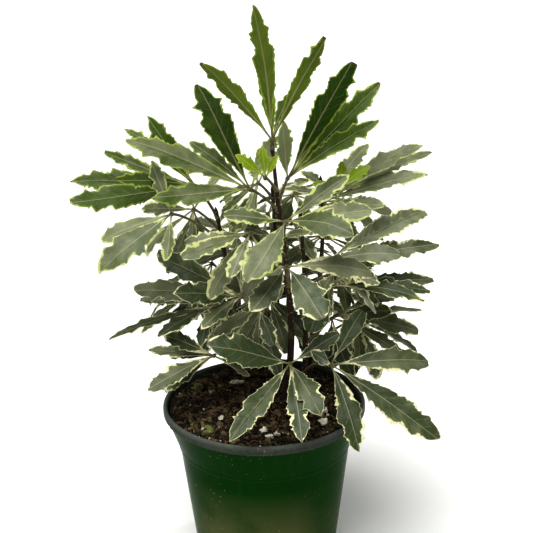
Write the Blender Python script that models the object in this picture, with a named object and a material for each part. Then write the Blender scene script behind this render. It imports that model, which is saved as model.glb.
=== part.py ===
"""Potted variegated false aralia: a nursery pot, its soil, five stems and their palmate leaves.

The plant is laid out in millimetres and written in metres. The origin is the centre of the pot's
flat base, +Z is up and -Y is the side that the leaf table calls the front. Every piece is a
closed solid of its own, and pieces that touch are a small gap apart.
"""

import math
import random

import bmesh
import bpy
from mathutils import Matrix, Vector
from mathutils.bvhtree import BVHTree

# Driving dimensions, in millimetres.
POT_HEIGHT = 95.0
RIM_RADIUS = 57.0
RIM_INNER_RADIUS = 55.0
LIP_HEIGHT = 5.0
RING_DROP = 23.7
RING_RADIUS = 48.8
BASE_RADIUS = 40.4
WALL = 1.2
FLOOR = 1.8
DRAIN_RADIUS = 4.5
DRAIN_CIRCLE = 29.0
DRAIN_COUNT = 5
POT_SIDES = 48
SOIL_TOP = 91.0
SOIL_RINGS = 5
SOIL_SIDES = 32
GAP = 0.32
BLADE_THICKNESS = 0.7
HUB_RADIUS = 1.3
ROOT_START = 0.6
ROOT_HALF_WIDTH = 0.45
MERGES = (0.00008, 0.00005, 0.00003)
STALK_RADIUS = 0.8
GOLDEN_ANGLE = 137.5
SEED = 41
ORIGIN = Vector((0, 0, 0))

# Stems: the points that each passes through, then its radii at the soil and at the top.
STEMS = {
    "stem_front": (
        [(11, 3, 74), (12, 3, 91), (15, 3, 114), (16, 3, 135), (15, 2, 155), (13, 2, 180), (10, 4, 203), (7, 5, 236)],
        2.3,
        0.9,
    ),
    "stem_left": (
        [(-10, 38, 74), (-11, 38, 91), (-15, 36, 108), (-14, 31, 139), (-19, 23, 165), (-24, 18, 198)],
        2.1,
        0.9,
    ),
    "stem_right": (
        [(26, 30, 74), (27, 30, 91), (29, 27, 120), (33, 24, 155), (35, 26, 190), (34, 28, 212)],
        1.9,
        0.9,
    ),
    "stem_middle": (
        [(22, 14, 74), (22, 14, 91), (24, 13, 115), (24, 11, 150), (23, 13, 180), (22, 15, 197)],
        1.6,
        0.9,
    ),
    "stem_back": (
        [(8, 34, 74), (8, 34, 91), (7, 36, 120), (9, 37, 150), (8, 35, 185), (7, 35, 206)],
        1.8,
        0.9,
    ),
}

# The leaves of the front: name, stem, height at which the stalk leaves the stem, the hub where
# the leaflets meet, the way the upper side faces, and the leaflets. A leaflet is its turn from
# +X towards +Z and its lean towards +Y, in degrees, then its length and its width.
FRONT_LEAVES = [
    ("leaf_crown", "stem_front", 236, (7, 5, 241), (0.1, 0.9, 0.35),
     [(96.5, 0, 69, 12.5), (130, 7, 54, 11), (61, 7, 59, 10), (100, 48, 44, 9), (60, 52, 40, 9)]),
    ("leaf_high_left", "stem_front", 203, (-5, 0, 216), (-0.1, -0.85, 0.5),
     [(114.5, 5, 61, 17), (155, -4, 70, 14), (-179, -14, 52, 13), (144, 24, 44, 9), (60, 40, 38, 10)]),
    ("leaf_high_right", "stem_front", 206, (15, 12, 219), (0.1, -0.8, 0.55),
     [(62, -6, 70, 15), (94, -20, 34, 10), (44, 10, 71, 14), (28, -2, 57, 12), (48, 30, 60, 9)]),
    ("leaf_far_left", "stem_left", 196, (-35, 15, 215), (-0.1, -0.85, 0.5),
     [(124, 12, 46, 12), (175, -3, 68, 14), (-176.5, -17, 67, 16), (168, -30, 46, 10), (162, 16, 56, 8),
      (143, 24, 56, 8)]),
    ("leaf_low_left", "stem_left", 180, (-46, -10, 206), (-0.35, -0.75, 0.55),
     [(-162, -5, 39, 12), (-148, -30, 49, 19), (-95, -40, 26, 8), (130, 40, 30, 9)]),
    ("leaf_inner_left", "stem_front", 178, (-5, -20, 198), (-0.1, -0.7, 0.7),
     [(-175, -15, 34, 11), (-171, -36, 41, 11), (-120, -50, 30, 10)]),
    ("leaf_front", "stem_front", 186, (13, -22, 204), (0.0, -0.75, 0.65),
     [(13, -20, 45, 14), (6, -45, 43, 17), (-132, -46, 42, 18), (168, -16, 32, 10), (35, 8, 40, 11)]),
    ("leaf_mid_left", "stem_left", 140, (-11, -5, 158), (-0.15, -0.75, 0.65),
     [(152, 4, 52, 14), (163, -30, 40, 15), (178, 9, 61, 13), (-160, -50, 34, 10), (95, 35, 34, 10)]),
    ("leaf_edge_left", "stem_left", 122, (-26, 15, 146), (-0.2, -0.3, 0.95),
     [(-172, -22, 63, 10), (-170, -44, 42, 13), (178, 8, 44, 10), (-120, -60, 30, 10)]),
    ("leaf_soil_left", "stem_left", 104, (-27, -8, 125), (-0.2, -0.55, 0.8),
     [(180, 12, 37, 8), (-166, 30, 31, 7), (-163, -30, 41, 13), (-150, -18, 33, 11), (-38, 34, 26, 9),
      (157, 6, 31, 11)]),
    ("leaf_centre", "stem_front", 160, (13, -28, 182), (0.0, -0.75, 0.65),
     [(-138, -42, 32, 14), (-45, -52, 38, 19), (0, -10, 44, 14), (170, -40, 30, 12)]),
    ("leaf_edge_right", "stem_middle", 142, (37, 5, 160), (0.15, -0.55, 0.8),
     [(1, 6, 58, 12), (0, -10, 55, 11), (-4, -26, 54, 12), (-130, -58, 36, 16), (20, 35, 50, 11)]),
    ("leaf_low_front", "stem_front", 108, (14, -32, 130), (0.0, -0.75, 0.65),
     [(154, -20, 47, 19), (-143, -44, 54, 13), (-45, -55, 36, 14), (-80, -56, 46, 12), (25, 20, 30, 10)]),
    ("leaf_low_right", "stem_middle", 104, (36, -25, 126), (0.1, -0.75, 0.65),
     [(-69, -42, 48, 15), (-32.5, -16, 68, 17), (-2, 8, 55, 15), (52, 30, 34, 12), (130, -20, 19, 8)]),
    ("leaf_side_right", "stem_right", 158, (35, 5, 174), (0.1, -0.65, 0.75),
     [(7, 5, 63, 12), (25, 10, 62, 15), (12, -18, 41, 14), (-10, -42, 36, 12)]),
    ("leaf_upper_right", "stem_right", 186, (36, 25, 199), (0.1, -0.6, 0.8),
     [(17, -6, 58, 12), (31, 3, 62, 12), (21, 14, 68, 10), (2, -30, 36, 11), (45, 40, 50, 10)]),
    ("leaf_lower_right", "stem_middle", 122, (43, 15, 139), (0.15, -0.6, 0.75),
     [(16, -26, 32, 13), (-9, -8, 46, 13), (-30, -18, 48, 9), (10, 26, 50, 11)]),
    ("leaf_inner_low", "stem_middle", 128, (-2, 8, 147), (-0.2, -0.75, 0.65),
     [(-157, -24, 34, 12), (-165, -48, 34, 11), (-60, -50, 26, 10)]),
    ("leaf_behind", "stem_back", 132, (3, 22, 149), (0.0, -0.9, 0.4),
     [(-93, -4, 41, 14), (-50, 2, 34, 13), (-134, 0, 37, 13), (176, 6, 31, 11)]),
    ("shoot_top", "stem_front", 214, (3, -4, 223), (0.0, -0.8, 0.6),
     [(139, -10, 20, 7), (95, -8, 17, 6), (62, -14, 14, 5)]),
    ("shoot_right", "stem_right", 208, (42, 14, 212), (0.2, -0.7, 0.7),
     [(38, -8, 22, 8), (165, -12, 14, 7), (80, 10, 15, 6)]),
]

# The other leaves follow a golden-angle spiral up each stem: stem, number of leaves, lowest
# height, rise from leaf to leaf, first bearing, stalk length, longest leaflet and the bearings
# that the spiral keeps to.
SPIRALS = [
    ("stem_back", 10, 108, 10.5, 60, 20, 44, (5, 175)),
    ("stem_left", 5, 116, 18, 100, 27, 48, (85, 170)),
    ("stem_right", 5, 114, 18, 20, 27, 48, (20, 105)),
    ("stem_middle", 4, 116, 20, 60, 24, 42, (-12, 192)),
]
LIGHT_SIDE = (0.0, -0.5, 1.0)
TILT = 0.45

# How a leaflet's edge runs: share of the length, then share of the half width. The third pair
# is the big tooth, and the fourth the notch behind it. The leaves of the spirals do without the
# last pair.
EDGE = [(0.11, 0.06), (0.38, 0.62), (0.67, 1.0), (0.7, 0.72), (0.9, 0.58)]
PLAIN_EDGE = EDGE[:4]
TOOTH = 0.67


def heading(turn, lean):
    """The unit vector at a turn in the front plane and a lean towards +Y, in degrees."""
    a, b = math.radians(turn), math.radians(lean)
    return Vector((math.cos(b) * math.cos(a), math.sin(b), math.cos(b) * math.sin(a)))


def square_to(vector, axis):
    """The part of a vector that is square to an axis, as a unit vector."""
    flat = vector - axis * vector.dot(axis)
    if flat.length < 0.3:
        vector = Vector((0, 0, 1)) + vector * 0.3
        flat = vector - axis * vector.dot(axis)
    return flat.normalized()


def edge_pairs(tooth, edge):
    """One edge of a leaflet with its big tooth at the given share of the length."""
    shift = tooth - TOOTH
    pairs = []
    for along, width in edge:
        pull = 0.5 if along < 0.6 else 1.0
        pull = 0.6 if along > 0.8 else pull
        pairs.append((along + shift * pull, width))
    return pairs


class Leaflet:
    """A leaflet's centre line: an arc from the hub whose chord has the given heading."""

    def __init__(self, root, chord, up, length, width, sag, twist, teeth, edge):
        self.length, self.width, self.sag, self.teeth, self.edge = length, width, sag, teeth, edge
        turned = Matrix.Rotation(twist, 3, chord)
        side = chord.cross(up).normalized()
        flat = turned @ side.cross(chord)
        self.side = turned @ side
        self.start = (chord * math.cos(sag / 2) + flat * math.sin(sag / 2)).normalized()
        self.top = self.side.cross(self.start).normalized()
        self.root = root + self.start * ROOT_START

    def at(self, share):
        """The point of the centre line and the upper direction at a share of the length."""
        angle = self.sag * share
        along = math.sin(angle) / self.sag * self.length
        down = (1 - math.cos(angle)) / self.sag * self.length
        point = self.root + self.start * along - self.top * down
        return point, self.top * math.cos(angle) + self.start * math.sin(angle)

    def outline(self, grow, first):
        """The blade's outline as shares of the length and distances from the centre line."""
        rims = []
        for sign, tooth in ((-1, self.teeth[0]), (1, self.teeth[1])):
            rim = [(first, sign * (ROOT_HALF_WIDTH + grow))]
            for along, width in edge_pairs(tooth, self.edge):
                if along > first + 0.02:
                    half = max(width * self.width / 2, ROOT_HALF_WIDTH)
                    rim.append((along, sign * (half + grow)))
            rims.append(rim)
        return rims[0], rims[1], (1.0 + grow / self.length, 0.0)

    def slab(self, half_thick=BLADE_THICKNESS / 2, grow=0.0, first=0.0):
        """Vertices and triangles of the blade, split alike on both faces."""
        left, right, tip = self.outline(grow, first)
        points = left + [tip] + right[::-1]
        verts = []
        for lift in (half_thick, -half_thick):
            for along, across in points:
                point, top = self.at(along)
                verts.append(point + self.side * across + top * lift)
        count = len(points)
        last = count - 1
        upper = []
        for i in range(len(left) - 1):
            upper.append((i, last - i, i + 1))
            upper.append((i + 1, last - i, last - i - 1))
        upper.append((len(left) - 1, len(left) + 1, len(left)))
        under = [(c + count, b + count, a + count) for a, b, c in upper]
        rim = []
        for i in range(count):
            j = (i + 1) % count
            rim.append((i, j, j + count))
            rim.append((i, j + count, i + count))
        return verts, upper + under + rim


class Room:
    """The room that placed pieces take up, each under its owner's name."""

    def __init__(self):
        self.pieces = []

    def add(self, verts, faces, owner):
        self.pieces.append((*self.measured(verts, faces), owner))

    def measured(self, verts, faces):
        middle = sum(verts, Vector()) / len(verts)
        reach = max((v - middle).length for v in verts)
        return BVHTree.FromPolygons(verts, faces), middle, reach

    def clear(self, verts, faces, owner):
        """Whether a piece crosses nothing but what its owner has placed."""
        tree, middle, reach = self.measured(verts, faces)
        for other, centre, radius, name in self.pieces:
            if name == owner or (centre - middle).length > radius + reach:
                continue
            if tree.overlap(other):
                return False
        return True


def stem_point(name, z):
    """The point of a stem's centre line at a height."""
    points = STEMS[name][0]
    for (x0, y0, z0), (x1, y1, z1) in zip(points, points[1:]):
        if z <= z1:
            k = (z - z0) / (z1 - z0)
            return Vector((x0 + k * (x1 - x0), y0 + k * (y1 - y0), z))
    return Vector(points[-1])


def stalk_path(start, hub, steps=3):
    """Points of a leaf stalk that arches up from its stem and ends just short of the hub."""
    reach = hub - start
    lift = Vector((0, 0, reach.length))
    a = start + reach * 0.3 + lift * 0.1
    b = start + reach * 0.78 + lift * 0.08
    end = hub - (hub - b).normalized() * (HUB_RADIUS + GAP)
    points = []
    for i in range(steps + 1):
        t = i / steps
        s = 1 - t
        points.append(start * s**3 + a * (3 * s * s * t) + b * (3 * s * t * t) + end * t**3)
    return points


def tube(points, radii, sides):
    """Vertices and faces of a closed round tube along points."""
    verts, faces = [], []
    side = Vector((1, 0.3, 0.1))
    last = len(points) - 1
    for i, point in enumerate(points):
        along = (points[min(i + 1, last)] - points[max(i - 1, 0)]).normalized()
        side = (side - along * side.dot(along)).normalized()
        other = along.cross(side)
        for k in range(sides):
            a = 2 * math.pi * k / sides
            verts.append(point + (side * math.cos(a) + other * math.sin(a)) * radii[i])
    for i in range(last):
        for k in range(sides):
            j = (k + 1) % sides
            a, b = i * sides, (i + 1) * sides
            faces.append((a + k, a + j, b + j, b + k))
    faces.append(tuple(range(sides))[::-1])
    faces.append(tuple(range(last * sides, (last + 1) * sides)))
    return verts, faces


def stem_tube(name, sides=5):
    """A stem as a tapered tube."""
    points, low, high = STEMS[name]
    last = len(points) - 1
    radii = [low + (high - low) * i / last for i in range(last + 1)]
    return tube([Vector(p) for p in points], radii, sides)


def stalk_tube(path, grow=0.0, sides=4):
    """A leaf stalk, a little thicker where it leaves its stem."""
    last = len(path) - 1
    radii = [STALK_RADIUS * (1.2 - 0.3 * i / last) + grow for i in range(last + 1)]
    return tube(path, radii, sides)


def bead(centre, radius):
    """The small knot in which leaflets meet, as an octahedron."""
    steps = ((1, 0, 0), (0, 1, 0), (-1, 0, 0), (0, -1, 0), (0, 0, 1), (0, 0, -1))
    verts = [centre + Vector(step) * radius for step in steps]
    faces = []
    for k in range(4):
        j = (k + 1) % 4
        faces.append((k, j, 4))
        faces.append((j, k, 5))
    return verts, faces


def front_leaves():
    """The leaves of the table, each with its leaflets still to be fitted."""
    leaves = []
    for name, stem, z, hub, up, rows in FRONT_LEAVES:
        wanted = []
        for turn, lean, length, width in rows:
            wanted.append((heading(turn, lean), Vector(up).normalized(), length, width))
        leaves.append((name, stem, z, Vector(hub), wanted))
    return leaves


def within(bearing, limits):
    """Whether a bearing lies between two limits, in degrees."""
    return (bearing - limits[0]) % 360 <= limits[1] - limits[0]


def fan(out, up, count, longest, rng):
    """Leaflets round a hub: the longest points outwards, and all droop a little."""
    wanted = []
    for k in (0, 1, -1, 2, -2, 3)[:count]:
        spread = math.radians(270 / count * k + rng.uniform(-6, 6))
        chord = Matrix.Rotation(spread, 3, up) @ square_to(out, up)
        chord = (chord - up * math.tan(math.radians(rng.uniform(-6, 28)))).normalized()
        length = longest * (1 - 0.12 * abs(k)) * rng.uniform(0.85, 1.1)
        wanted.append((chord, up, length, length * rng.uniform(0.21, 0.28)))
    return wanted


def spiral_leaves(rng):
    """The leaves that follow each stem's spiral, with their leaflets still to be fitted."""
    leaves = []
    for stem, count, low, rise, bearing, reach, longest, limits in SPIRALS:
        top = STEMS[stem][0][-1][2]
        for i in range(count):
            while not within(bearing, limits):
                bearing += GOLDEN_ANGLE
            a = math.radians(bearing + rng.uniform(-12, 12))
            z = low + rise * i
            stalk = reach * (1.15 - 0.45 * (z - low) / (top - low)) * rng.uniform(0.8, 1.15)
            rising = math.radians(rng.uniform(22, 42))
            out = Vector((math.cos(a), math.sin(a), 0))
            hub = stem_point(stem, z) + out * stalk * math.cos(rising)
            hub.z += stalk * math.sin(rising)
            tilt = Vector((rng.uniform(-TILT, TILT), rng.uniform(-TILT, TILT), 0))
            up = (Vector(LIGHT_SIDE) + out * 0.3 + tilt).normalized()
            wanted = fan(out, up, 5 + i % 2, longest, rng)
            leaves.append((f"leaf_{stem[5:]}_{i + 1:02d}", stem, z, hub, wanted))
            bearing += GOLDEN_ANGLE
    return leaves


def hub_steps():
    """Ways to move a hub aside until its stalk is clear, the smallest first."""
    yield Vector()
    for size in (4, 8, 12):
        for step in ((0, 0, 1), (0, 1, 0), (1, 0, 0), (-1, 0, 0), (0, 0, -1), (0.7, 0.7, 0.3), (-0.7, 0.7, 0.3)):
            yield Vector(step) * size


def fit_stalk(room, name, stem, z, hub):
    """The hub and the stalk's path, moved aside as little as is needed, or None."""
    start = stem_point(stem, z)
    for step in hub_steps():
        moved = hub + step
        path = stalk_path(start, moved)
        if not room.clear(*stalk_tube(path, GAP), stem):
            continue
        if room.clear(*bead(moved, HUB_RADIUS + 0.8), name):
            return moved, path
    return None


def leaflet_steps():
    """Turns that may free a leaflet, smallest first: up, sideways and about its own line, in
    degrees, and the share of its length that is kept."""
    yield 0, 0, 0, 1.0
    for size in (5, 10, 15, 20, 26):
        for k in range(8):
            a = math.pi * k / 4
            yield size * math.sin(a), size * math.cos(a), 0, 1.0
            yield size * math.sin(a), size * math.cos(a), size if k % 2 else -size, 1.0
    for share in (0.8, 0.65):
        for size in (0, 8, 16, 26):
            for k in range(8):
                a = math.pi * k / 4
                yield size * math.sin(a), size * math.cos(a), 0, share


def fit_leaflet(room, mates, owner, hub, wanted, sag, teeth, edge):
    """The first leaflet that is clear of the other pieces and of its mates, or None."""
    chord, up, length, width = wanted
    up = square_to(up, chord)
    side = chord.cross(up)
    for lift, sideways, twist, share in leaflet_steps():
        turned = Matrix.Rotation(math.radians(lift), 3, side) @ chord
        turned = Matrix.Rotation(math.radians(sideways), 3, up) @ turned
        size = length * share, width * (share + 1) / 2
        leaflet = Leaflet(hub, turned, up, *size, sag, math.radians(twist), teeth, edge)
        if not room.clear(*leaflet.slab(BLADE_THICKNESS / 2 + GAP, 0.4), owner):
            continue
        outer = leaflet.slab(BLADE_THICKNESS / 2 + 0.2, 0.2, min(0.5, 7.0 / length))
        if mates.clear(*outer, owner):
            mates.add(*outer, None)
            return leaflet
    return None


def pot_profile():
    """The pot's outer and inner walls from the middle of the base round to the floor's middle,
    as radius and height."""
    lip = POT_HEIGHT - LIP_HEIGHT
    ring = POT_HEIGHT - RING_DROP
    outer = [
        (BASE_RADIUS - 0.8, 0.0),
        (BASE_RADIUS, 0.8),
        (RING_RADIUS - 0.35, ring - 1.6),
        (RING_RADIUS + 0.45, ring - 0.6),
        (RING_RADIUS + 0.45, ring + 0.6),
        (RIM_INNER_RADIUS + 0.3, lip - 0.2),
        (RIM_RADIUS - 0.4, lip),
        (RIM_RADIUS + 0.1, lip + 0.9),
        (RIM_RADIUS + 0.1, POT_HEIGHT - 1.1),
        (RIM_RADIUS - 0.6, POT_HEIGHT),
    ]
    inner = [
        (RIM_INNER_RADIUS + 0.4, POT_HEIGHT),
        (RIM_INNER_RADIUS - 0.3, POT_HEIGHT - 0.9),
        (RIM_INNER_RADIUS - 0.6, lip),
        (RING_RADIUS - WALL, ring),
        (BASE_RADIUS - WALL + 0.2, FLOOR),
    ]
    return outer, inner


def lathe(rows, sides, cap_low, cap_high):
    """Vertices and faces of rings about Z, with a flat disc across either end."""
    verts, faces = [], []
    for radius, z in rows:
        for k in range(sides):
            a = 2 * math.pi * k / sides
            verts.append(Vector((radius * math.cos(a), radius * math.sin(a), z)))
    for i in range(len(rows) - 1):
        for k in range(sides):
            j = (k + 1) % sides
            a, b = i * sides, (i + 1) * sides
            faces.append((a + k, a + j, b + j, b + k))
    for capped, first, turn in ((cap_low, 0, -1), (cap_high, len(rows) - 1, 1)):
        if capped:
            faces.append(tuple(range(first * sides, (first + 1) * sides))[::turn])
    return verts, faces


def grow_plant():
    """The stalks of each stem, and each leaf with its hub and its fitted leaflets."""
    rng = random.Random(SEED)
    room = Room()
    outer, inner = pot_profile()
    room.add(*lathe(outer + inner, POT_SIDES, False, False), "pot")
    room.add(*lathe([(0.1, SOIL_TOP + 1.6), (RIM_INNER_RADIUS, SOIL_TOP + 1.6)], 24, True, False), "soil")
    for stem in STEMS:
        room.add(*stem_tube(stem), stem)
    leaves = []
    for name, stem, z, hub, wanted in front_leaves() + spiral_leaves(rng):
        found = fit_stalk(room, name, stem, z, hub)
        if found:
            room.add(*stalk_tube(found[1]), stem)
            room.add(*bead(found[0], HUB_RADIUS), name)
            leaves.append((name, stem, *found, wanted))
    grown = []
    for name, stem, hub, path, wanted in leaves:
        mates = Room()
        leaflets = []
        edge = PLAIN_EDGE if name[-1].isdigit() else EDGE
        for one in wanted:
            sag = math.radians(rng.uniform(8, 26))
            teeth = (rng.uniform(0.58, 0.72), rng.uniform(0.62, 0.78))
            leaflets.append(fit_leaflet(room, mates, name, hub, one, sag, teeth, edge))
        leaflets = [leaflet for leaflet in leaflets if leaflet]
        for leaflet in leaflets:
            room.add(*leaflet.slab(), name)
        grown.append((name, stem, hub, path, leaflets))
    return grown


def material(name, colour, roughness, metallic=0.0):
    """A plain material in the photo's colour."""
    made = bpy.data.materials.new(name)
    made.use_nodes = True
    shader = made.node_tree.nodes["Principled BSDF"]
    shader.inputs["Base Color"].default_value = (*colour, 1.0)
    shader.inputs["Roughness"].default_value = roughness
    shader.inputs["Metallic"].default_value = metallic
    made.diffuse_color = (*colour, 1.0)
    return made


def new_object(name, verts, faces, surface, origin=ORIGIN):
    """An object in metres from vertices in millimetres, with its own origin."""
    mesh = bpy.data.meshes.new(name)
    mesh.from_pydata([tuple((v - origin) / 1000) for v in verts], [], faces)
    mesh.materials.append(surface)
    made = bpy.data.objects.new(name, mesh)
    made.location = origin / 1000
    bpy.context.scene.collection.objects.link(made)
    return made


def attach(child, parent):
    """Parents one unrotated object to another where it stands."""
    child.location -= parent.location
    child.parent = parent


def shade(made, angle=35.0):
    """Smooth shading with the sharp edges kept."""
    made.data.shade_smooth()
    made.data.set_sharp_from_angle(angle=math.radians(angle))


def apply_modifier(target, modifier):
    """Applies a modifier, so that its helpers can be removed."""
    bpy.context.view_layer.objects.active = target
    bpy.ops.object.modifier_apply(modifier=modifier.name)


def drop(objects):
    """Removes helper objects with their meshes."""
    for made in list(objects):
        mesh = made.data
        bpy.data.objects.remove(made)
        bpy.data.meshes.remove(mesh)


def biggest_body(mesh):
    """Keeps the outer connected body of a mesh: loose scraps go, and sealed hollows fill."""
    made = bmesh.new()
    made.from_mesh(mesh)
    left = set(made.faces)
    bodies = []
    while left:
        stack = [left.pop()]
        body = set(stack)
        while stack:
            for edge in stack.pop().edges:
                for face in edge.link_faces:
                    if face in left:
                        left.discard(face)
                        body.add(face)
                        stack.append(face)
        bodies.append(body)
    bodies.sort(key=len, reverse=True)
    for body in bodies[1:]:
        bmesh.ops.delete(made, geom=list(body), context="FACES")
    made.to_mesh(mesh)
    made.free()


def fuse(name, pieces, surface, origin):
    """Joins overlapping closed pieces into one solid by a Boolean union on a collection. The
    solver is MANIFOLD, because EXACT leaves a few open edges where thin roots cross."""
    target = new_object(name, *pieces[0], surface, origin)
    group = bpy.data.collections.new(f"{name}_pieces")
    bpy.context.scene.collection.children.link(group)
    for i, (verts, faces) in enumerate(pieces[1:]):
        made = new_object(f"{name}_piece_{i}", verts, faces, surface)
        bpy.context.scene.collection.objects.unlink(made)
        group.objects.link(made)
    union = target.modifiers.new("union", "BOOLEAN")
    union.operation = "UNION"
    union.operand_type = "COLLECTION"
    union.collection = group
    union.solver = "MANIFOLD"
    apply_modifier(target, union)
    drop(group.objects)
    bpy.data.collections.remove(group)
    biggest_body(target.data)
    return target


def is_sound(made):
    """Whether a mesh is closed, has no face folded onto its neighbour and doesn't cross itself."""
    for edge in made.edges:
        if not edge.is_manifold or edge.calc_face_angle() > math.radians(177):
            return False
    tree = BVHTree.FromBMesh(made)
    corners = [{vert.index for vert in face.verts} for face in made.faces]
    return all(corners[a] & corners[b] for a, b in tree.overlap(tree))


def merge_slivers(mesh, reach):
    """Merges the tiny steps that a union leaves round the origin, as far as the solid stays
    sound, and splits the mesh into triangles."""
    for distance in (*MERGES, 0.0):
        made = bmesh.new()
        made.from_mesh(mesh)
        near = [v for v in made.verts if v.co.length < reach]
        bmesh.ops.remove_doubles(made, verts=near, dist=distance)
        bmesh.ops.triangulate(made, faces=made.faces[:])
        made.verts.index_update()
        made.faces.ensure_lookup_table()
        sound = is_sound(made)
        if sound or not distance:
            made.to_mesh(mesh)
        made.free()
        if sound:
            return


def cut(target, cutter):
    """Cuts a closed piece out of an object and removes the cutter."""
    cutter.hide_render = True
    cutter.display_type = "WIRE"
    hole = target.modifiers.new("hole", "BOOLEAN")
    hole.operation = "DIFFERENCE"
    hole.solver = "EXACT"
    hole.object = cutter
    apply_modifier(target, hole)
    drop([cutter])


def rod(name, radius, length, centre, sides=20):
    """An upright cylinder, for cutting."""
    shape = bmesh.new()
    size = {"radius1": radius / 1000, "radius2": radius / 1000, "depth": length / 1000}
    bmesh.ops.create_cone(shape, cap_ends=True, segments=sides, **size)
    mesh = bpy.data.meshes.new(name)
    shape.to_mesh(mesh)
    shape.free()
    made = bpy.data.objects.new(name, mesh)
    made.location = centre / 1000
    bpy.context.scene.collection.objects.link(made)
    return made


def build_pot(surface):
    """The thin pot with its rolled lip, its flared collar and the drain holes in its floor."""
    outer, inner = pot_profile()
    pot = new_object("pot", *lathe(outer + inner, POT_SIDES, True, True), surface)
    for k in range(DRAIN_COUNT):
        a = 2 * math.pi * (k + 0.5) / DRAIN_COUNT
        centre = Vector((DRAIN_CIRCLE * math.cos(a), DRAIN_CIRCLE * math.sin(a), FLOOR / 2))
        cut(pot, rod("drain_cutter", DRAIN_RADIUS, FLOOR * 3, centre))
    shade(pot)
    return pot


def soil_height(x, y):
    """The soil's uneven top: two slow waves and a small one."""
    slow = math.sin(x * 0.11 + 0.6) * math.cos(y * 0.09 - 0.3)
    small = math.sin(x * 0.41 + y * 0.23) * math.cos(y * 0.37 - x * 0.13)
    return SOIL_TOP + 0.55 * slow + 0.4 * small


def soil_body():
    """The soil as it fills the pot, with its top in rings that follow soil_height."""
    ring = POT_HEIGHT - RING_DROP
    low = FLOOR + GAP
    inner_low = BASE_RADIUS - WALL + 0.2
    taper = (RING_RADIUS - WALL - inner_low) / (ring - FLOOR)
    collar = (RIM_INNER_RADIUS - 0.6 - RING_RADIUS + WALL) / (POT_HEIGHT - LIP_HEIGHT - ring)
    edge = RING_RADIUS - WALL + collar * (SOIL_TOP - 1.4 - ring) - 0.7
    rows = [(inner_low + taper * (low - FLOOR) - 0.45, low), (RING_RADIUS - WALL - 0.5, ring)]
    verts, faces = lathe(rows + [(edge, SOIL_TOP - 1.4)], SOIL_SIDES, True, False)
    for i in range(SOIL_RINGS):
        radius = (edge - 0.6) * (1 - i / SOIL_RINGS)
        for k in range(SOIL_SIDES):
            a = 2 * math.pi * k / SOIL_SIDES
            x, y = radius * math.cos(a), radius * math.sin(a)
            verts.append(Vector((x, y, soil_height(x, y))))
    for i in range(2, 2 + SOIL_RINGS):
        for k in range(SOIL_SIDES):
            j = (k + 1) % SOIL_SIDES
            a, b = i * SOIL_SIDES, (i + 1) * SOIL_SIDES
            faces.append((a + k, a + j, b + j))
            faces.append((a + k, b + j, b + k))
    verts.append(Vector((0, 0, soil_height(0, 0))))
    middle, ring_start = len(verts) - 1, (2 + SOIL_RINGS) * SOIL_SIDES
    for k in range(SOIL_SIDES):
        faces.append((ring_start + k, ring_start + (k + 1) % SOIL_SIDES, middle))
    return verts, faces


def build_soil(surface):
    """The soil with a plain hole for each stem."""
    soil = new_object("soil", *soil_body(), surface, Vector((0, 0, FLOOR + GAP)))
    for name, (points, low, high) in STEMS.items():
        foot = [Vector(p) for p in points[:2]]
        along = (foot[1] - foot[0]).normalized()
        line = [foot[0] - along * GAP, foot[1] + along * 6]
        cut(soil, new_object("stem_hole", *tube(line, [low + GAP] * 2, 10), surface))
    return soil


def build_stems(grown, surface):
    """Each stem fused with the stalks of its leaves, by name."""
    stems = {}
    for name, (points, low, high) in STEMS.items():
        pieces = [stem_tube(name)]
        for leaf in grown:
            if leaf[1] == name:
                pieces.append(stalk_tube(leaf[3]))
        stems[name] = fuse(name, pieces, surface, Vector(points[0]))
        shade(stems[name], 60.0)
    return stems


def build_leaf(name, hub, leaflets, surface):
    """A leaf: its leaflets fused at the hub."""
    pieces = [bead(hub, HUB_RADIUS)] + [leaflet.slab() for leaflet in leaflets]
    leaf = fuse(name, pieces, surface, hub)
    merge_slivers(leaf.data, 0.0045)
    biggest_body(leaf.data)
    return leaf


def main():
    """Clears the scene and builds every piece, each hung on the piece that carries it."""
    for old in list(bpy.data.objects):
        bpy.data.objects.remove(old)
    root = bpy.data.objects.new("potted_aralia", None)
    bpy.context.scene.collection.objects.link(root)
    pot = build_pot(material("pot_green", (0.006, 0.042, 0.008), 0.3))
    soil = build_soil(material("potting_soil", (0.028, 0.018, 0.011), 0.95))
    grown = grow_plant()
    stems = build_stems(grown, material("stem_bark", (0.075, 0.045, 0.026), 0.7))
    leaf_surface = material("leaf_green", (0.062, 0.105, 0.045), 0.42)
    shoot_surface = material("shoot_lime", (0.22, 0.36, 0.03), 0.5)
    for name, stem, hub, path, leaflets in grown:
        surface = shoot_surface if name.startswith("shoot") else leaf_surface
        attach(build_leaf(name, hub, leaflets, surface), stems[stem])
    for stem in stems.values():
        attach(stem, soil)
    attach(soil, pot)
    attach(pot, root)


main()
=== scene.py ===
"""The looks of a potted variegated false aralia, over its CAD frame.

It is laid out as a Blender add-on and run as a script. The plant is laid out in millimetres by
the same rule as the part's source, so each fine piece stands exactly where its CAD node stands.
Z is up and -Y is the side that the photo shows.
"""

import math
import random

import bmesh
import bpy
import numpy as np
from bpy.props import FloatProperty, FloatVectorProperty, IntProperty, PointerProperty
from mathutils import Matrix, Vector, noise
from mathutils.bvhtree import BVHTree


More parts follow.
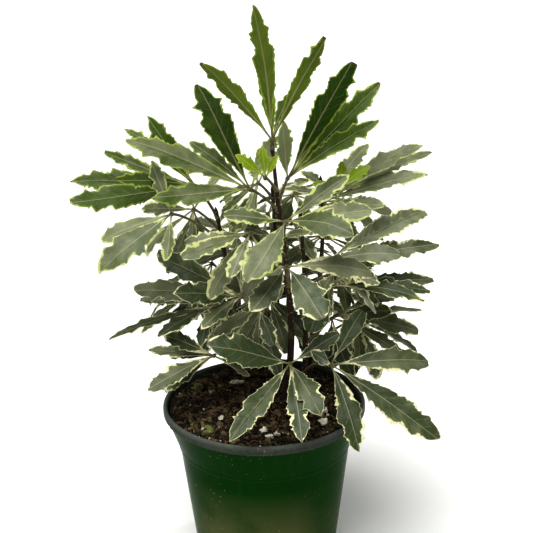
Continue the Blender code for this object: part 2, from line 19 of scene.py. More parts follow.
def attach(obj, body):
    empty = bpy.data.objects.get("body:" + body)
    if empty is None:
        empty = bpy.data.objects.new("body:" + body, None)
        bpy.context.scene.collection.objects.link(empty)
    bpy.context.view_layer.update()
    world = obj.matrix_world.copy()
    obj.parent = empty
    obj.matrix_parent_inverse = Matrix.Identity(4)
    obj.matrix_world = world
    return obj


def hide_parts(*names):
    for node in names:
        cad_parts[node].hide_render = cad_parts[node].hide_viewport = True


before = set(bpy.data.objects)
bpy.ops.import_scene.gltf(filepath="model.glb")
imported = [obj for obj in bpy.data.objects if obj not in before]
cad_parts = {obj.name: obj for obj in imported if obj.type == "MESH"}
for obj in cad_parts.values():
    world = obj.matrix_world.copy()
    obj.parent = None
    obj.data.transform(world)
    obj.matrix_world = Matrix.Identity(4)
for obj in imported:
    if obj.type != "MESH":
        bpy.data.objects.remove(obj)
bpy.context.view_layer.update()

bl_info = {
    "name": "Potted aralia",
    "version": (1, 0, 0),
    "blender": (4, 5, 0),
    "location": "View3D > Sidebar > Aralia",
    "description": "Dresses a potted variegated false aralia: pot, soil, stems, leaves and studio",
    "category": "Object",
}

# Dimensions of the frame, in millimetres, as in the part's source.
POT_HEIGHT = 95.0
RIM_RADIUS = 57.0
RIM_INNER_RADIUS = 55.0
LIP_HEIGHT = 5.0
RING_DROP = 23.7
RING_RADIUS = 48.8
BASE_RADIUS = 40.4
WALL = 1.2
FLOOR = 1.8
DRAIN_RADIUS = 4.5
DRAIN_CIRCLE = 29.0
DRAIN_COUNT = 5
POT_SIDES = 48
SOIL_TOP = 91.0
GAP = 0.32
BLADE_THICKNESS = 0.7
HUB_RADIUS = 1.3
ROOT_START = 0.6
ROOT_HALF_WIDTH = 0.45
STALK_RADIUS = 0.8
GOLDEN_ANGLE = 137.5
SEED = 41

# Stems: the points that each passes through, then its radii at the soil and at the top.
STEMS = {
    "stem_front": (
        [(11, 3, 74), (12, 3, 91), (15, 3, 114), (16, 3, 135), (15, 2, 155), (13, 2, 180), (10, 4, 203),
         (7, 5, 236)],
        2.3,
        0.9,
    ),
    "stem_left": (
        [(-10, 38, 74), (-11, 38, 91), (-15, 36, 108), (-14, 31, 139), (-19, 23, 165), (-24, 18, 198)],
        2.1,
        0.9,
    ),
    "stem_right": (
        [(26, 30, 74), (27, 30, 91), (29, 27, 120), (33, 24, 155), (35, 26, 190), (34, 28, 212)],
        1.9,
        0.9,
    ),
    "stem_middle": (
        [(22, 14, 74), (22, 14, 91), (24, 13, 115), (24, 11, 150), (23, 13, 180), (22, 15, 197)],
        1.6,
        0.9,
    ),
    "stem_back": (
        [(8, 34, 74), (8, 34, 91), (7, 36, 120), (9, 37, 150), (8, 35, 185), (7, 35, 206)],
        1.8,
        0.9,
    ),
}

# The leaves of the front: name, stem, height at which the stalk leaves the stem, the hub where
# the leaflets meet, the way the upper side faces, and the leaflets. A leaflet is its turn from
# +X towards +Z and its lean towards +Y, in degrees, then its length and its width.
FRONT_LEAVES = [
    ("leaf_crown", "stem_front", 236, (7, 5, 241), (0.1, 0.9, 0.35),
     [(96.5, 0, 69, 12.5), (130, 7, 54, 11), (61, 7, 59, 10), (100, 48, 44, 9), (60, 52, 40, 9)]),
    ("leaf_high_left", "stem_front", 203, (-5, 0, 216), (-0.1, -0.85, 0.5),
     [(114.5, 5, 61, 17), (155, -4, 70, 14), (-179, -14, 52, 13), (144, 24, 44, 9), (60, 40, 38, 10)]),
    ("leaf_high_right", "stem_front", 206, (15, 12, 219), (0.1, -0.8, 0.55),
     [(62, -6, 70, 15), (94, -20, 34, 10), (44, 10, 71, 14), (28, -2, 57, 12), (48, 30, 60, 9)]),
    ("leaf_far_left", "stem_left", 196, (-35, 15, 215), (-0.1, -0.85, 0.5),
     [(124, 12, 46, 12), (175, -3, 68, 14), (-176.5, -17, 67, 16), (168, -30, 46, 10), (162, 16, 56, 8),
      (143, 24, 56, 8)]),
    ("leaf_low_left", "stem_left", 180, (-46, -10, 206), (-0.35, -0.75, 0.55),
     [(-162, -5, 39, 12), (-148, -30, 49, 19), (-95, -40, 26, 8), (130, 40, 30, 9)]),
    ("leaf_inner_left", "stem_front", 178, (-5, -20, 198), (-0.1, -0.7, 0.7),
     [(-175, -15, 34, 11), (-171, -36, 41, 11), (-120, -50, 30, 10)]),
    ("leaf_front", "stem_front", 186, (13, -22, 204), (0.0, -0.75, 0.65),
     [(13, -20, 45, 14), (6, -45, 43, 17), (-132, -46, 42, 18), (168, -16, 32, 10), (35, 8, 40, 11)]),
    ("leaf_mid_left", "stem_left", 140, (-11, -5, 158), (-0.15, -0.75, 0.65),
     [(152, 4, 52, 14), (163, -30, 40, 15), (178, 9, 61, 13), (-160, -50, 34, 10), (95, 35, 34, 10)]),
    ("leaf_edge_left", "stem_left", 122, (-26, 15, 146), (-0.2, -0.3, 0.95),
     [(-172, -22, 63, 10), (-170, -44, 42, 13), (178, 8, 44, 10), (-120, -60, 30, 10)]),
    ("leaf_soil_left", "stem_left", 104, (-27, -8, 125), (-0.2, -0.55, 0.8),
     [(180, 12, 37, 8), (-166, 30, 31, 7), (-163, -30, 41, 13), (-150, -18, 33, 11), (-38, 34, 26, 9),
      (157, 6, 31, 11)]),
    ("leaf_centre", "stem_front", 160, (13, -28, 182), (0.0, -0.75, 0.65),
     [(-138, -42, 32, 14), (-45, -52, 38, 19), (0, -10, 44, 14), (170, -40, 30, 12)]),
    ("leaf_edge_right", "stem_middle", 142, (37, 5, 160), (0.15, -0.55, 0.8),
     [(1, 6, 58, 12), (0, -10, 55, 11), (-4, -26, 54, 12), (-130, -58, 36, 16), (20, 35, 50, 11)]),
    ("leaf_low_front", "stem_front", 108, (14, -32, 130), (0.0, -0.75, 0.65),
     [(154, -20, 47, 19), (-143, -44, 54, 13), (-45, -55, 36, 14), (-80, -56, 46, 12),
      (25, 20, 30, 10)]),
    ("leaf_low_right", "stem_middle", 104, (36, -25, 126), (0.1, -0.75, 0.65),
     [(-69, -42, 48, 15), (-32.5, -16, 68, 17), (-2, 8, 55, 15), (52, 30, 34, 12), (130, -20, 19, 8)]),
    ("leaf_side_right", "stem_right", 158, (35, 5, 174), (0.1, -0.65, 0.75),
     [(7, 5, 63, 12), (25, 10, 62, 15), (12, -18, 41, 14), (-10, -42, 36, 12)]),
    ("leaf_upper_right", "stem_right", 186, (36, 25, 199), (0.1, -0.6, 0.8),
     [(17, -6, 58, 12), (31, 3, 62, 12), (21, 14, 68, 10), (2, -30, 36, 11), (45, 40, 50, 10)]),
    ("leaf_lower_right", "stem_middle", 122, (43, 15, 139), (0.15, -0.6, 0.75),
     [(16, -26, 32, 13), (-9, -8, 46, 13), (-30, -18, 48, 9), (10, 26, 50, 11)]),
    ("leaf_inner_low", "stem_middle", 128, (-2, 8, 147), (-0.2, -0.75, 0.65),
     [(-157, -24, 34, 12), (-165, -48, 34, 11), (-60, -50, 26, 10)]),
    ("leaf_behind", "stem_back", 132, (3, 22, 149), (0.0, -0.9, 0.4),
     [(-93, -4, 41, 14), (-50, 2, 34, 13), (-134, 0, 37, 13), (176, 6, 31, 11)]),
    ("shoot_top", "stem_front", 214, (3, -4, 223), (0.0, -0.8, 0.6),
     [(139, -10, 20, 7), (95, -8, 17, 6), (62, -14, 14, 5)]),
    ("shoot_right", "stem_right", 208, (42, 14, 212), (0.2, -0.7, 0.7),
     [(38, -8, 22, 8), (165, -12, 14, 7), (80, 10, 15, 6)]),
]

# The other leaves follow a golden-angle spiral up each stem: stem, number of leaves, lowest
# height, rise from leaf to leaf, first bearing, stalk length, longest leaflet and the bearings
# that the spiral keeps to.
SPIRALS = [
    ("stem_back", 10, 108, 10.5, 60, 20, 44, (5, 175)),
    ("stem_left", 5, 116, 18, 100, 27, 48, (85, 170)),
    ("stem_right", 5, 114, 18, 20, 27, 48, (20, 105)),
    ("stem_middle", 4, 116, 20, 60, 24, 42, (-12, 192)),
]
LIGHT_SIDE = (0.0, -0.5, 1.0)
TILT = 0.45

# How a leaflet's edge runs in the solids: share of the length, then share of the half width.
# The leaves of the spirals do without the last pair.
EDGE = [(0.11, 0.06), (0.38, 0.62), (0.67, 1.0), (0.7, 0.72), (0.9, 0.58)]
PLAIN_EDGE = EDGE[:4]
TOOTH = 0.67

# The same edge as it is drawn here, in more steps. The pair at TOOTH is the big tooth. Leaves
# whose hub is higher than NOTCHED_FROM have deeper notches and a slimmer tip.
LOWER_EDGE = [(0.0, 0.03), (0.07, 0.04), (0.12, 0.08), (0.17, 0.17), (0.25, 0.36), (0.38, 0.62),
              (0.5, 0.78), (0.6, 0.93), (0.67, 1.0)]
FINE_EDGE = LOWER_EDGE + [
    (0.69, 0.76), (0.71, 0.7), (0.76, 0.76), (0.81, 0.87), (0.83, 0.7), (0.86, 0.64), (0.9, 0.56),
    (0.94, 0.44), (0.97, 0.29), (0.99, 0.14), (1.0, 0.03)]
NOTCHED_EDGE = LOWER_EDGE + [
    (0.69, 0.68), (0.71, 0.64), (0.76, 0.74), (0.82, 0.92), (0.84, 0.58), (0.87, 0.52), (0.91, 0.47),
    (0.94, 0.38), (0.97, 0.25), (0.99, 0.12), (1.0, 0.03)]
NOTCHED_FROM = 210.0

# Where each row of a blade's points lies across the half width. The rib takes the first two.
COLUMNS = (0.09, 0.3, 0.54, 0.76, 0.91, 1.0)

# The bud on top of a stem: heights above it, and radii as shares of the stem's own there.
BUD = ((0.8, 1.15), (1.8, 1.2), (3.0, 0.9), (4.2, 0.5), (5.0, 0.12))
# The angles, in degrees, from which an edge of a leaf, of a stem and of the pot looks sharp.
SHARP_LEAF, SHARP_STEM, SHARP_POT = 62, 50, 40

# Steps along a blade, in millimetres, for the leaves of the table and for those of the spirals.
STEP_FRONT, STEP_HIDDEN = 0.95, 1.4

# How many more leaflets a leaf of the spirals may have than its solid, the most that it has in
# all, and the leaves of the table that others hide and that get as many.
HANGING = 3
FULL_LEAF = 7
HIDDEN = ("leaf_behind", "leaf_inner_low", "leaf_inner_left")
# Leaflets near the top that show their underside, by leaf and row.
TURNED_OVER = (("leaf_high_left", 0), ("leaf_high_right", 0))

# Heights of a hub between which the leaves go from grown to fresh, and how far a leaf of the
# spirals goes.
FRESH_FROM, FRESH_TO = 198.0, 220.0
FRESH_SPIRAL = 0.3
# Heights of a hub between which the margin goes from cream to a wider yellow green.
YOUNG_FROM, YOUNG_TO = 172.0, 212.0
# Heights of a hub between which the leaves go from dark to paler and greyer, partly with age
# and partly as a painted sheen that stands for the light from above: the grey at the lower
# height, what the upper one adds, how far one leaflet may differ from the next at random, and
# how far the halves of a leaflet do, one painted lighter and one darker as painted light and shade.
AGE_AND_SHEEN_FROM, AGE_AND_SHEEN_TO = 120.0, 185.0
LEAST_SHEEN, MORE_SHEEN, LEAFLET_SPREAD, HALF_PAINTED_LIGHT = 0.02, 0.55, 0.32, 0.08
# Painted sheen and shade added to the grey of a leaf, or of one of its leaflets instead, to
# light some leaflets and shade others: above zero it is greyer than its height gives, and below
# zero greener. It is the other way round where the clear underside of a fresh leaf shows, which
# this makes darker as painted shade.
PAINTED_SHEEN_AND_SHADE = {
    "leaf_behind 2": 0.3,
    "leaf_centre 1": -0.4, "leaf_centre 3": -0.4,
    "leaf_crown": -0.45, "leaf_crown 0": -0.38, "leaf_crown 1": -0.65, "leaf_crown 2": -0.65,
    "leaf_crown 4": -0.7,
    "leaf_edge_left": -0.2, "leaf_edge_left 2": 0.4,
    "leaf_edge_right": -0.25, "leaf_edge_right 3": -0.75, "leaf_edge_right 4": -0.5,
    "leaf_far_left": -0.3, "leaf_far_left 2": -0.55,
    "leaf_front 1": -0.45, "leaf_front 2": -0.2, "leaf_front 3": -0.3,
    "leaf_high_left 0": 0.6, "leaf_high_left 4": 0.7,
    "leaf_high_right 0": 0.6, "leaf_high_right 1": 0.7,
    "leaf_inner_left": 0.2, "leaf_inner_left 2": -0.3,
    "leaf_inner_low 0": 0.3, "leaf_inner_low 1": 0.4, "leaf_inner_low 2": -0.3,
    "leaf_low_front": -0.2, "leaf_low_front 0": -0.48, "leaf_low_front 2": 0.1,
    "leaf_low_front 3": -0.48,
    "leaf_low_left 0": 0.4,
    "leaf_low_right": -0.15, "leaf_low_right 2": 0.35,
    "leaf_lower_right 2": 0.5,
    "leaf_mid_left": -0.28, "leaf_mid_left 2": 0.25, "leaf_mid_left 3": 0.2,
    "leaf_side_right": -0.2,
    "leaf_soil_left 0": 0.5,
}

# Bits on the soil that stand out enough to be placed one by one: kind, x, y and size.
SOIL_BITS = [
    ("perlite", -15.7, 26.2, 5.0), ("perlite", -23.5, -18.8, 3.4), ("perlite", -0.1, -34.1, 4.0),
    ("perlite", 2.7, -41.0, 3.6), ("perlite", 31.5, -27.2, 4.0), ("perlite", 33.9, -12.5, 4.0),
    ("perlite", 6.7, -36.8, 2.5), ("perlite", 12.3, -37.1, 2.4), ("perlite", -40.5, -7.3, 2.4),
    ("perlite", -42.0, -1.8, 1.6), ("perlite", -31.2, 14.8, 1.8), ("perlite", -1.6, -42.7, 1.6),
    ("perlite", 35.2, -17.0, 2.0), ("perlite", 6.9, -24.1, 1.4), ("perlite", -32.6, -28.3, 2.2),
    ("moss", -39.1, 18.5, 6.5), ("moss", -25.3, 21.3, 3.4), ("moss", 3.4, -2.8, 4.0),
    ("moss", -18.9, -12.7, 2.4), ("moss", -30.2, -29.0, 4.0), ("moss", -29.4, -36.2, 4.6),
    ("moss", -33.4, -20.8, 3.0), ("moss", -12.9, 14.1, 3.2), ("moss", 18.5, 24.8, 4.4),
]
# Bearings of the two mould marks on the lip, in degrees.
LIP_MARKS = (204.8, 313.4)
# The soil's radius at its top, and how far out loose bits lie.
SOIL_RADIUS = 53.4
LOOSE_REACH = 52.0
# Sizes of loose crumbs and of grains of perlite: the smallest, and how much more the largest.
CRUMB_SIZES = (0.7, 3.2)
GRAIN_SIZES = (0.5, 1.6)
# Steps round and across the soil's broken top.
SOIL_SIDES, SOIL_RINGS = 230, 62
SOIL_SEED, HANGING_SEED = SEED + 1, SEED + 2
# About a full turn, in radians, for angles that are drawn.
TURN = 6.28

# Half of the thickness of a leaflet's own short stalk.
STEM_HALF_THICK = 0.46

# The studio: the floor's radius and its drop below the pot in millimetres, then where the lights
# stand, where they point and how large the strip is, in metres.
FLOOR_RADIUS, FLOOR_DROP = 60000.0, 0.05
KEY_PLACE, KEY_AIM = (-0.22, -0.26, 0.94), (0, 0, 0)
STRIP_PLACE, STRIP_AIM = (0.62, 0.4, 0.25), (0, 0, 0.06)
STRIP_WIDTH, STRIP_HEIGHT = 0.05, 0.5


def linear(code):
    """An sRGB hex colour as linear red, green and blue."""
    parts = [int(code[i : i + 2], 16) / 255 for i in (1, 3, 5)]
    return tuple(c / 12.92 if c <= 0.04045 else ((c + 0.055) / 1.055) ** 2.4 for c in parts)


def rgba(colour):
    """A linear colour with full alpha, for a node's socket."""
    return (*colour, 1.0)


# The plant's rule, the same as in the part's source.


def heading(turn, lean):
    """The unit vector at a turn in the front plane and a lean towards +Y, in degrees."""
    a, b = math.radians(turn), math.radians(lean)
    return Vector((math.cos(b) * math.cos(a), math.sin(b), math.cos(b) * math.sin(a)))


def square_to(vector, axis):
    """The part of a vector that is square to an axis, as a unit vector."""
    flat = vector - axis * vector.dot(axis)
    if flat.length < 0.3:
        vector = Vector((0, 0, 1)) + vector * 0.3
        flat = vector - axis * vector.dot(axis)
    return flat.normalized()


def edge_pairs(tooth, edge):
    """One edge of a leaflet with its big tooth at the given share of the length."""
    shift = tooth - TOOTH
    pairs = []
    for along, width in edge:
        pull = 0.5 if along < 0.6 else 1.0
        pull = 0.6 if along > 0.8 else pull
        pull = 0.0 if along in (0.0, 1.0) else pull
        pairs.append((along + shift * pull, width))
    return pairs


class Leaflet:
    """A leaflet's centre line: an arc from the hub whose chord has the given heading."""

    def __init__(self, root, chord, up, length, width, sag, twist, teeth, edge):
        self.length, self.width, self.sag, self.teeth, self.edge = length, width, sag, teeth, edge
        turned = Matrix.Rotation(twist, 3, chord)
        side = chord.cross(up).normalized()
        flat = turned @ side.cross(chord)
        self.side = turned @ side
        self.start = (chord * math.cos(sag / 2) + flat * math.sin(sag / 2)).normalized()
        self.top = self.side.cross(self.start).normalized()
        self.root = root + self.start * ROOT_START

    def at(self, share):
        """The point of the centre line and the upper direction at a share of the length."""
        angle = self.sag * share
        along = math.sin(angle) / self.sag * self.length
        down = (1 - math.cos(angle)) / self.sag * self.length
        point = self.root + self.start * along - self.top * down
        return point, self.top * math.cos(angle) + self.start * math.sin(angle)

    def outline(self, grow, first):
        """The blade's outline as shares of the length and distances from the centre line."""
        rims = []
        for sign, tooth in ((-1, self.teeth[0]), (1, self.teeth[1])):
            rim = [(first, sign * (ROOT_HALF_WIDTH + grow))]
            for along, width in edge_pairs(tooth, self.edge):
                if along > first + 0.02:
                    half = max(width * self.width / 2, ROOT_HALF_WIDTH)
                    rim.append((along, sign * (half + grow)))
            rims.append(rim)
        return rims[0], rims[1], (1.0 + grow / self.length, 0.0)

    def slab(self, half_thick=BLADE_THICKNESS / 2, grow=0.0, first=0.0):
        """Vertices and triangles of the solid's blade."""
        left, right, tip = self.outline(grow, first)
        points = left + [tip] + right[::-1]
        verts = []
        for lift in (half_thick, -half_thick):
            for along, across in points:
                point, top = self.at(along)
                verts.append(point + self.side * across + top * lift)
        count = len(points)
        last = count - 1
        upper = []
        for i in range(len(left) - 1):
            upper.append((i, last - i, i + 1))
            upper.append((i + 1, last - i, last - i - 1))
        upper.append((len(left) - 1, len(left) + 1, len(left)))
        under = [(c + count, b + count, a + count) for a, b, c in upper]
        rim = []
        for i in range(count):
            j = (i + 1) % count
            rim.append((i, j, j + count))
            rim.append((i, j + count, i + count))
        return verts, upper + under + rim

    def beyond_root(self, length):
        """The blade without its root, a little larger, which has to be clear of its mates."""
        return self.slab(BLADE_THICKNESS / 2 + 0.2, 0.2, min(0.5, 7.0 / length))


class Room:
    """The room that placed pieces take up, each under its owner's name."""

    def __init__(self):
        self.pieces = []

    def add(self, verts, faces, owner):
        """Puts a piece in its place."""
        self.pieces.append((*self.measured(verts, faces), owner))

    def measured(self, verts, faces):
        """A piece's tree of faces, its middle and how far it reaches from there."""
        middle = sum(verts, Vector()) / len(verts)
        reach = max((v - middle).length for v in verts)
        return BVHTree.FromPolygons(verts, faces), middle, reach

    def clear(self, verts, faces, owner):
        """Whether a piece crosses nothing but what its owner has placed."""
        tree, middle, reach = self.measured(verts, faces)
        for other, centre, radius, name in self.pieces:
            if name == owner or (centre - middle).length > radius + reach:
                continue
            if tree.overlap(other):
                return False
        return True


def stem_point(name, z):
    """The point of a stem's centre line at a height."""
    points = STEMS[name][0]
    for (x0, y0, z0), (x1, y1, z1) in zip(points, points[1:]):
        if z <= z1:
            k = (z - z0) / (z1 - z0)
            return Vector((x0 + k * (x1 - x0), y0 + k * (y1 - y0), z))
    return Vector(points[-1])


def stalk_path(start, hub, steps=3, short=HUB_RADIUS + GAP):
    """Points of a leaf stalk that arches up from its stem and ends a little short of the hub."""
    reach = hub - start
    lift = Vector((0, 0, reach.length))
    a = start + reach * 0.3 + lift * 0.1
    b = start + reach * 0.78 + lift * 0.08
    end = hub - (hub - b).normalized() * short
    points = []
    for i in range(steps + 1):
        t = i / steps
        s = 1 - t
        points.append(start * s**3 + a * (3 * s * s * t) + b * (3 * s * t * t) + end * t**3)
    return points


def bands(rings, sides, first=0):
    """Quads between rings of points that follow each other, from the ring with a number on."""
    faces = []
    for i in range(first, rings - 1):
        for k in range(sides):
            j = (k + 1) % sides
            a, b = i * sides, (i + 1) * sides
            faces.append((a + k, a + j, b + j, b + k))
    return faces


def tube(points, radii, sides):
    """Vertices and faces of a closed round tube along points."""
    verts = []
    side = Vector((1, 0.3, 0.1))
    last = len(points) - 1
    for i, point in enumerate(points):
        along = (points[min(i + 1, last)] - points[max(i - 1, 0)]).normalized()
        side = (side - along * side.dot(along)).normalized()
        other = along.cross(side)
        for k in range(sides):
            a = 2 * math.pi * k / sides
            verts.append(point + (side * math.cos(a) + other * math.sin(a)) * radii[i])
    faces = bands(last + 1, sides)
    faces.append(tuple(range(sides))[::-1])
    faces.append(tuple(range(last * sides, (last + 1) * sides)))
    return verts, faces


def stem_tube(name, sides=5):
    """A stem of the solids as a tapered tube."""
    points, low, high = STEMS[name]
    last = len(points) - 1
    radii = [low + (high - low) * i / last for i in range(last + 1)]
    return tube([Vector(p) for p in points], radii, sides)


def stalk_tube(path, grow=0.0, sides=4):
    """A leaf stalk of the solids, a little thicker where it leaves its stem."""
    last = len(path) - 1
    radii = [STALK_RADIUS * (1.2 - 0.3 * i / last) + grow for i in range(last + 1)]
    return tube(path, radii, sides)


def bead(centre, radius):
    """The small knot in which leaflets meet, as an octahedron."""
    steps = ((1, 0, 0), (0, 1, 0), (-1, 0, 0), (0, -1, 0), (0, 0, 1), (0, 0, -1))
    verts = [centre + Vector(step) * radius for step in steps]
    faces = []
    for k in range(4):
        j = (k + 1) % 4
        faces.append((k, j, 4))
        faces.append((j, k, 5))
    return verts, faces


def front_leaves():
    """The leaves of the table, each with its leaflets still to be fitted."""
    leaves = []
    for name, stem, z, hub, up, rows in FRONT_LEAVES:
        wanted = []
        for turn, lean, length, width in rows:
            wanted.append((heading(turn, lean), Vector(up).normalized(), length, width))
        leaves.append((name, stem, z, Vector(hub), wanted))
    return leaves


def within(bearing, limits):
    """Whether a bearing lies between two limits, in degrees."""
    return (bearing - limits[0]) % 360 <= limits[1] - limits[0]


def fan(out, up, count, longest, rng):
    """Leaflets round a hub: the longest points outwards, and all droop a little."""
    wanted = []
    for k in (0, 1, -1, 2, -2, 3)[:count]:
        spread = math.radians(270 / count * k + rng.uniform(-6, 6))
        chord = Matrix.Rotation(spread, 3, up) @ square_to(out, up)
        chord = (chord - up * math.tan(math.radians(rng.uniform(-6, 28)))).normalized()
        length = longest * (1 - 0.12 * abs(k)) * rng.uniform(0.85, 1.1)
        wanted.append((chord, up, length, length * rng.uniform(0.21, 0.28)))
    return wanted


def spiral_leaves(rng):
    """The leaves that follow each stem's spiral, with their leaflets still to be fitted."""
    leaves = []
    for stem, count, low, rise, bearing, reach, longest, limits in SPIRALS:
        top = STEMS[stem][0][-1][2]
        for i in range(count):
            while not within(bearing, limits):
                bearing += GOLDEN_ANGLE
            a = math.radians(bearing + rng.uniform(-12, 12))
            z = low + rise * i
            stalk = reach * (1.15 - 0.45 * (z - low) / (top - low)) * rng.uniform(0.8, 1.15)
            rising = math.radians(rng.uniform(22, 42))
            out = Vector((math.cos(a), math.sin(a), 0))
            hub = stem_point(stem, z) + out * stalk * math.cos(rising)
            hub.z += stalk * math.sin(rising)
            tilt = Vector((rng.uniform(-TILT, TILT), rng.uniform(-TILT, TILT), 0))
            up = (Vector(LIGHT_SIDE) + out * 0.3 + tilt).normalized()
            wanted = fan(out, up, 5 + i % 2, longest, rng)
            leaves.append((f"leaf_{stem[5:]}_{i + 1:02d}", stem, z, hub, wanted))
            bearing += GOLDEN_ANGLE
    return leaves


def hub_steps():
    """Ways to move a hub aside until its stalk is clear, the smallest first."""
    yield Vector()
    for size in (4, 8, 12):
        for step in ((0, 0, 1), (0, 1, 0), (1, 0, 0), (-1, 0, 0), (0, 0, -1), (0.7, 0.7, 0.3),
                     (-0.7, 0.7, 0.3)):
            yield Vector(step) * size


def fit_stalk(room, name, stem, z, hub):
    """The hub and the stalk's path, moved aside as little as is needed, or None."""
    start = stem_point(stem, z)
    for step in hub_steps():
        moved = hub + step
        path = stalk_path(start, moved)
        if not room.clear(*stalk_tube(path, GAP), stem):
            continue
        if room.clear(*bead(moved, HUB_RADIUS + 0.8), name):
            return moved, path
    return None


def leaflet_steps():
    """Turns that may free a leaflet, smallest first: up, sideways and about its own line, in
    degrees, and the share of its length that is kept."""
    yield 0, 0, 0, 1.0
    for size in (5, 10, 15, 20, 26):
        for k in range(8):
            a = math.pi * k / 4
            yield size * math.sin(a), size * math.cos(a), 0, 1.0
            yield size * math.sin(a), size * math.cos(a), size if k % 2 else -size, 1.0
    for share in (0.8, 0.65):
        for size in (0, 8, 16, 26):
            for k in range(8):
                a = math.pi * k / 4
                yield size * math.sin(a), size * math.cos(a), 0, share


def fit_leaflet(room, mates, owner, hub, wanted, sag, teeth, edge):
    """The first leaflet that is clear of the other pieces and of its mates, or None."""
    chord, up, length, width = wanted
    up = square_to(up, chord)
    side = chord.cross(up)
    for lift, sideways, twist, share in leaflet_steps():
        turned = Matrix.Rotation(math.radians(lift), 3, side) @ chord
        turned = Matrix.Rotation(math.radians(sideways), 3, up) @ turned
        size = length * share, width * (share + 1) / 2
        leaflet = Leaflet(hub, turned, up, *size, sag, math.radians(twist), teeth, edge)
        if not room.clear(*leaflet.slab(BLADE_THICKNESS / 2 + GAP, 0.4), owner):
            continue
        outer = leaflet.beyond_root(length)
        if mates.clear(*outer, owner):
            mates.add(*outer, None)
            return leaflet
    return None


def pot_profile():
    """The solid pot's outer and inner walls as radius and height."""
    lip = POT_HEIGHT - LIP_HEIGHT
    ring = POT_HEIGHT - RING_DROP
    outer = [
        (BASE_RADIUS - 0.8, 0.0),
        (BASE_RADIUS, 0.8),
        (RING_RADIUS - 0.35, ring - 1.6),
        (RING_RADIUS + 0.45, ring - 0.6),
        (RING_RADIUS + 0.45, ring + 0.6),
        (RIM_INNER_RADIUS + 0.3, lip - 0.2),
        (RIM_RADIUS - 0.4, lip),
        (RIM_RADIUS + 0.1, lip + 0.9),
        (RIM_RADIUS + 0.1, POT_HEIGHT - 1.1),
        (RIM_RADIUS - 0.6, POT_HEIGHT),
    ]
    inner = [
        (RIM_INNER_RADIUS + 0.4, POT_HEIGHT),
        (RIM_INNER_RADIUS - 0.3, POT_HEIGHT - 0.9),
        (RIM_INNER_RADIUS - 0.6, lip),
        (RING_RADIUS - WALL, ring),
        (BASE_RADIUS - WALL + 0.2, FLOOR),
    ]
    return outer, inner


def lathe(rows, sides, cap_low, cap_high):
    """Vertices and faces of rings about Z, with a flat disc across either end."""
    verts = []
    for radius, z in rows:
        for k in range(sides):
            a = 2 * math.pi * k / sides
            verts.append(Vector((radius * math.cos(a), radius * math.sin(a), z)))
    faces = bands(len(rows), sides)
    for capped, first, turn in ((cap_low, 0, -1), (cap_high, len(rows) - 1, 1)):
        if capped:
            faces.append(tuple(range(first * sides, (first + 1) * sides))[::turn])
    return verts, faces


def bare_room(above):
    """The room that the pot, the stems and the soil take up, with a space above the soil."""
    room = Room()
    outer, inner = pot_profile()
    room.add(*lathe(outer + inner, POT_SIDES, False, False), "pot")
    top = SOIL_TOP + above
    room.add(*lathe([(0.1, top), (RIM_INNER_RADIUS, top)], 24, True, False), "soil")
    for stem in STEMS:
        room.add(*stem_tube(stem), stem)
    return room


def on_spiral(name):
    """Whether a leaf is one of a stem's spiral. The names of these end in a number."""
    return name[-1].isdigit()


def grow_plant():
    """The stalks of each stem, and each leaf with its hub and its fitted leaflets."""
    rng = random.Random(SEED)
    room = bare_room(1.6)
    leaves = []
    for name, stem, z, hub, wanted in front_leaves() + spiral_leaves(rng):
        found = fit_stalk(room, name, stem, z, hub)
        if found:
            room.add(*stalk_tube(found[1]), stem)
            room.add(*bead(found[0], HUB_RADIUS), name)
            leaves.append((name, stem, *found, wanted))
    grown = []
    for name, stem, hub, path, wanted in leaves:
        mates = Room()
        leaflets = []
        edge = PLAIN_EDGE if on_spiral(name) else EDGE
        for one in wanted:
            sag = math.radians(rng.uniform(8, 26))
            teeth = (rng.uniform(0.58, 0.72), rng.uniform(0.62, 0.78))
            leaflets.append(fit_leaflet(room, mates, name, hub, one, sag, teeth, edge))
        leaflets = [leaflet for leaflet in leaflets if leaflet]
        for leaflet in leaflets:
            room.add(*leaflet.slab(), name)
        grown.append((name, stem, hub, path, leaflets))
    return grown


PLANT = grow_plant()


# Small helpers for meshes and materials.


def new_piece(name, verts, faces, materials, attributes=None, smooth=True):
    """An object in metres from vertices in millimetres, with a float attribute for each name."""
    mesh = bpy.data.meshes.new(name)
    mesh.from_pydata([(v[0] / 1000, v[1] / 1000, v[2] / 1000) for v in verts], [], faces)
    for surface in materials:
        mesh.materials.append(surface)
    for key, values in (attributes or {}).items():
        mesh.attributes.new(key, "FLOAT", "POINT").data.foreach_set("value", values)
    if smooth:
        mesh.shade_smooth()
    made = bpy.data.objects.new(name, mesh)
    bpy.context.scene.collection.objects.link(made)
    return made


def append(verts, faces, more_verts, more_faces):
    """Adds a mesh's vertices and faces to lists that may hold some already."""
    first = len(verts)
    verts += more_verts
    faces += [tuple(first + i for i in face) for face in more_faces]


def take_apart(shape):
    """The vertices and faces of a bmesh, which is then freed."""
    verts = [vert.co.copy() for vert in shape.verts]
    faces = [tuple(vert.index for vert in face.verts) for face in shape.faces]
    shape.free()
    return verts, faces


def join(tree, made, inputs):
    """Gives a node its inputs: values or sockets, by name or number."""
    for key, value in inputs.items():
        if isinstance(value, bpy.types.NodeSocket):
            tree.links.new(value, made.inputs[key])
        else:
            made.inputs[key].default_value = value


def add_node(tree, kind, inputs=None, **settings):
    """Adds a node with its settings and inputs."""
    made = tree.nodes.new(kind)
    for key, value in settings.items():
        setattr(made, key, value)
    join(tree, made, inputs or {})
    return made


def blank_material(name):
    """A node material with only its Principled shader and its output."""
    made = bpy.data.materials.new(name)
    made.use_nodes = True
    return made, made.node_tree, made.node_tree.nodes["Principled BSDF"]


def smoothstep(low, high, value):
    """0 below low, 1 above high, and an even curve between."""
    t = min(max((value - low) / (high - low), 0.0), 1.0)
    return t * t * (3 - 2 * t)


# Settings.


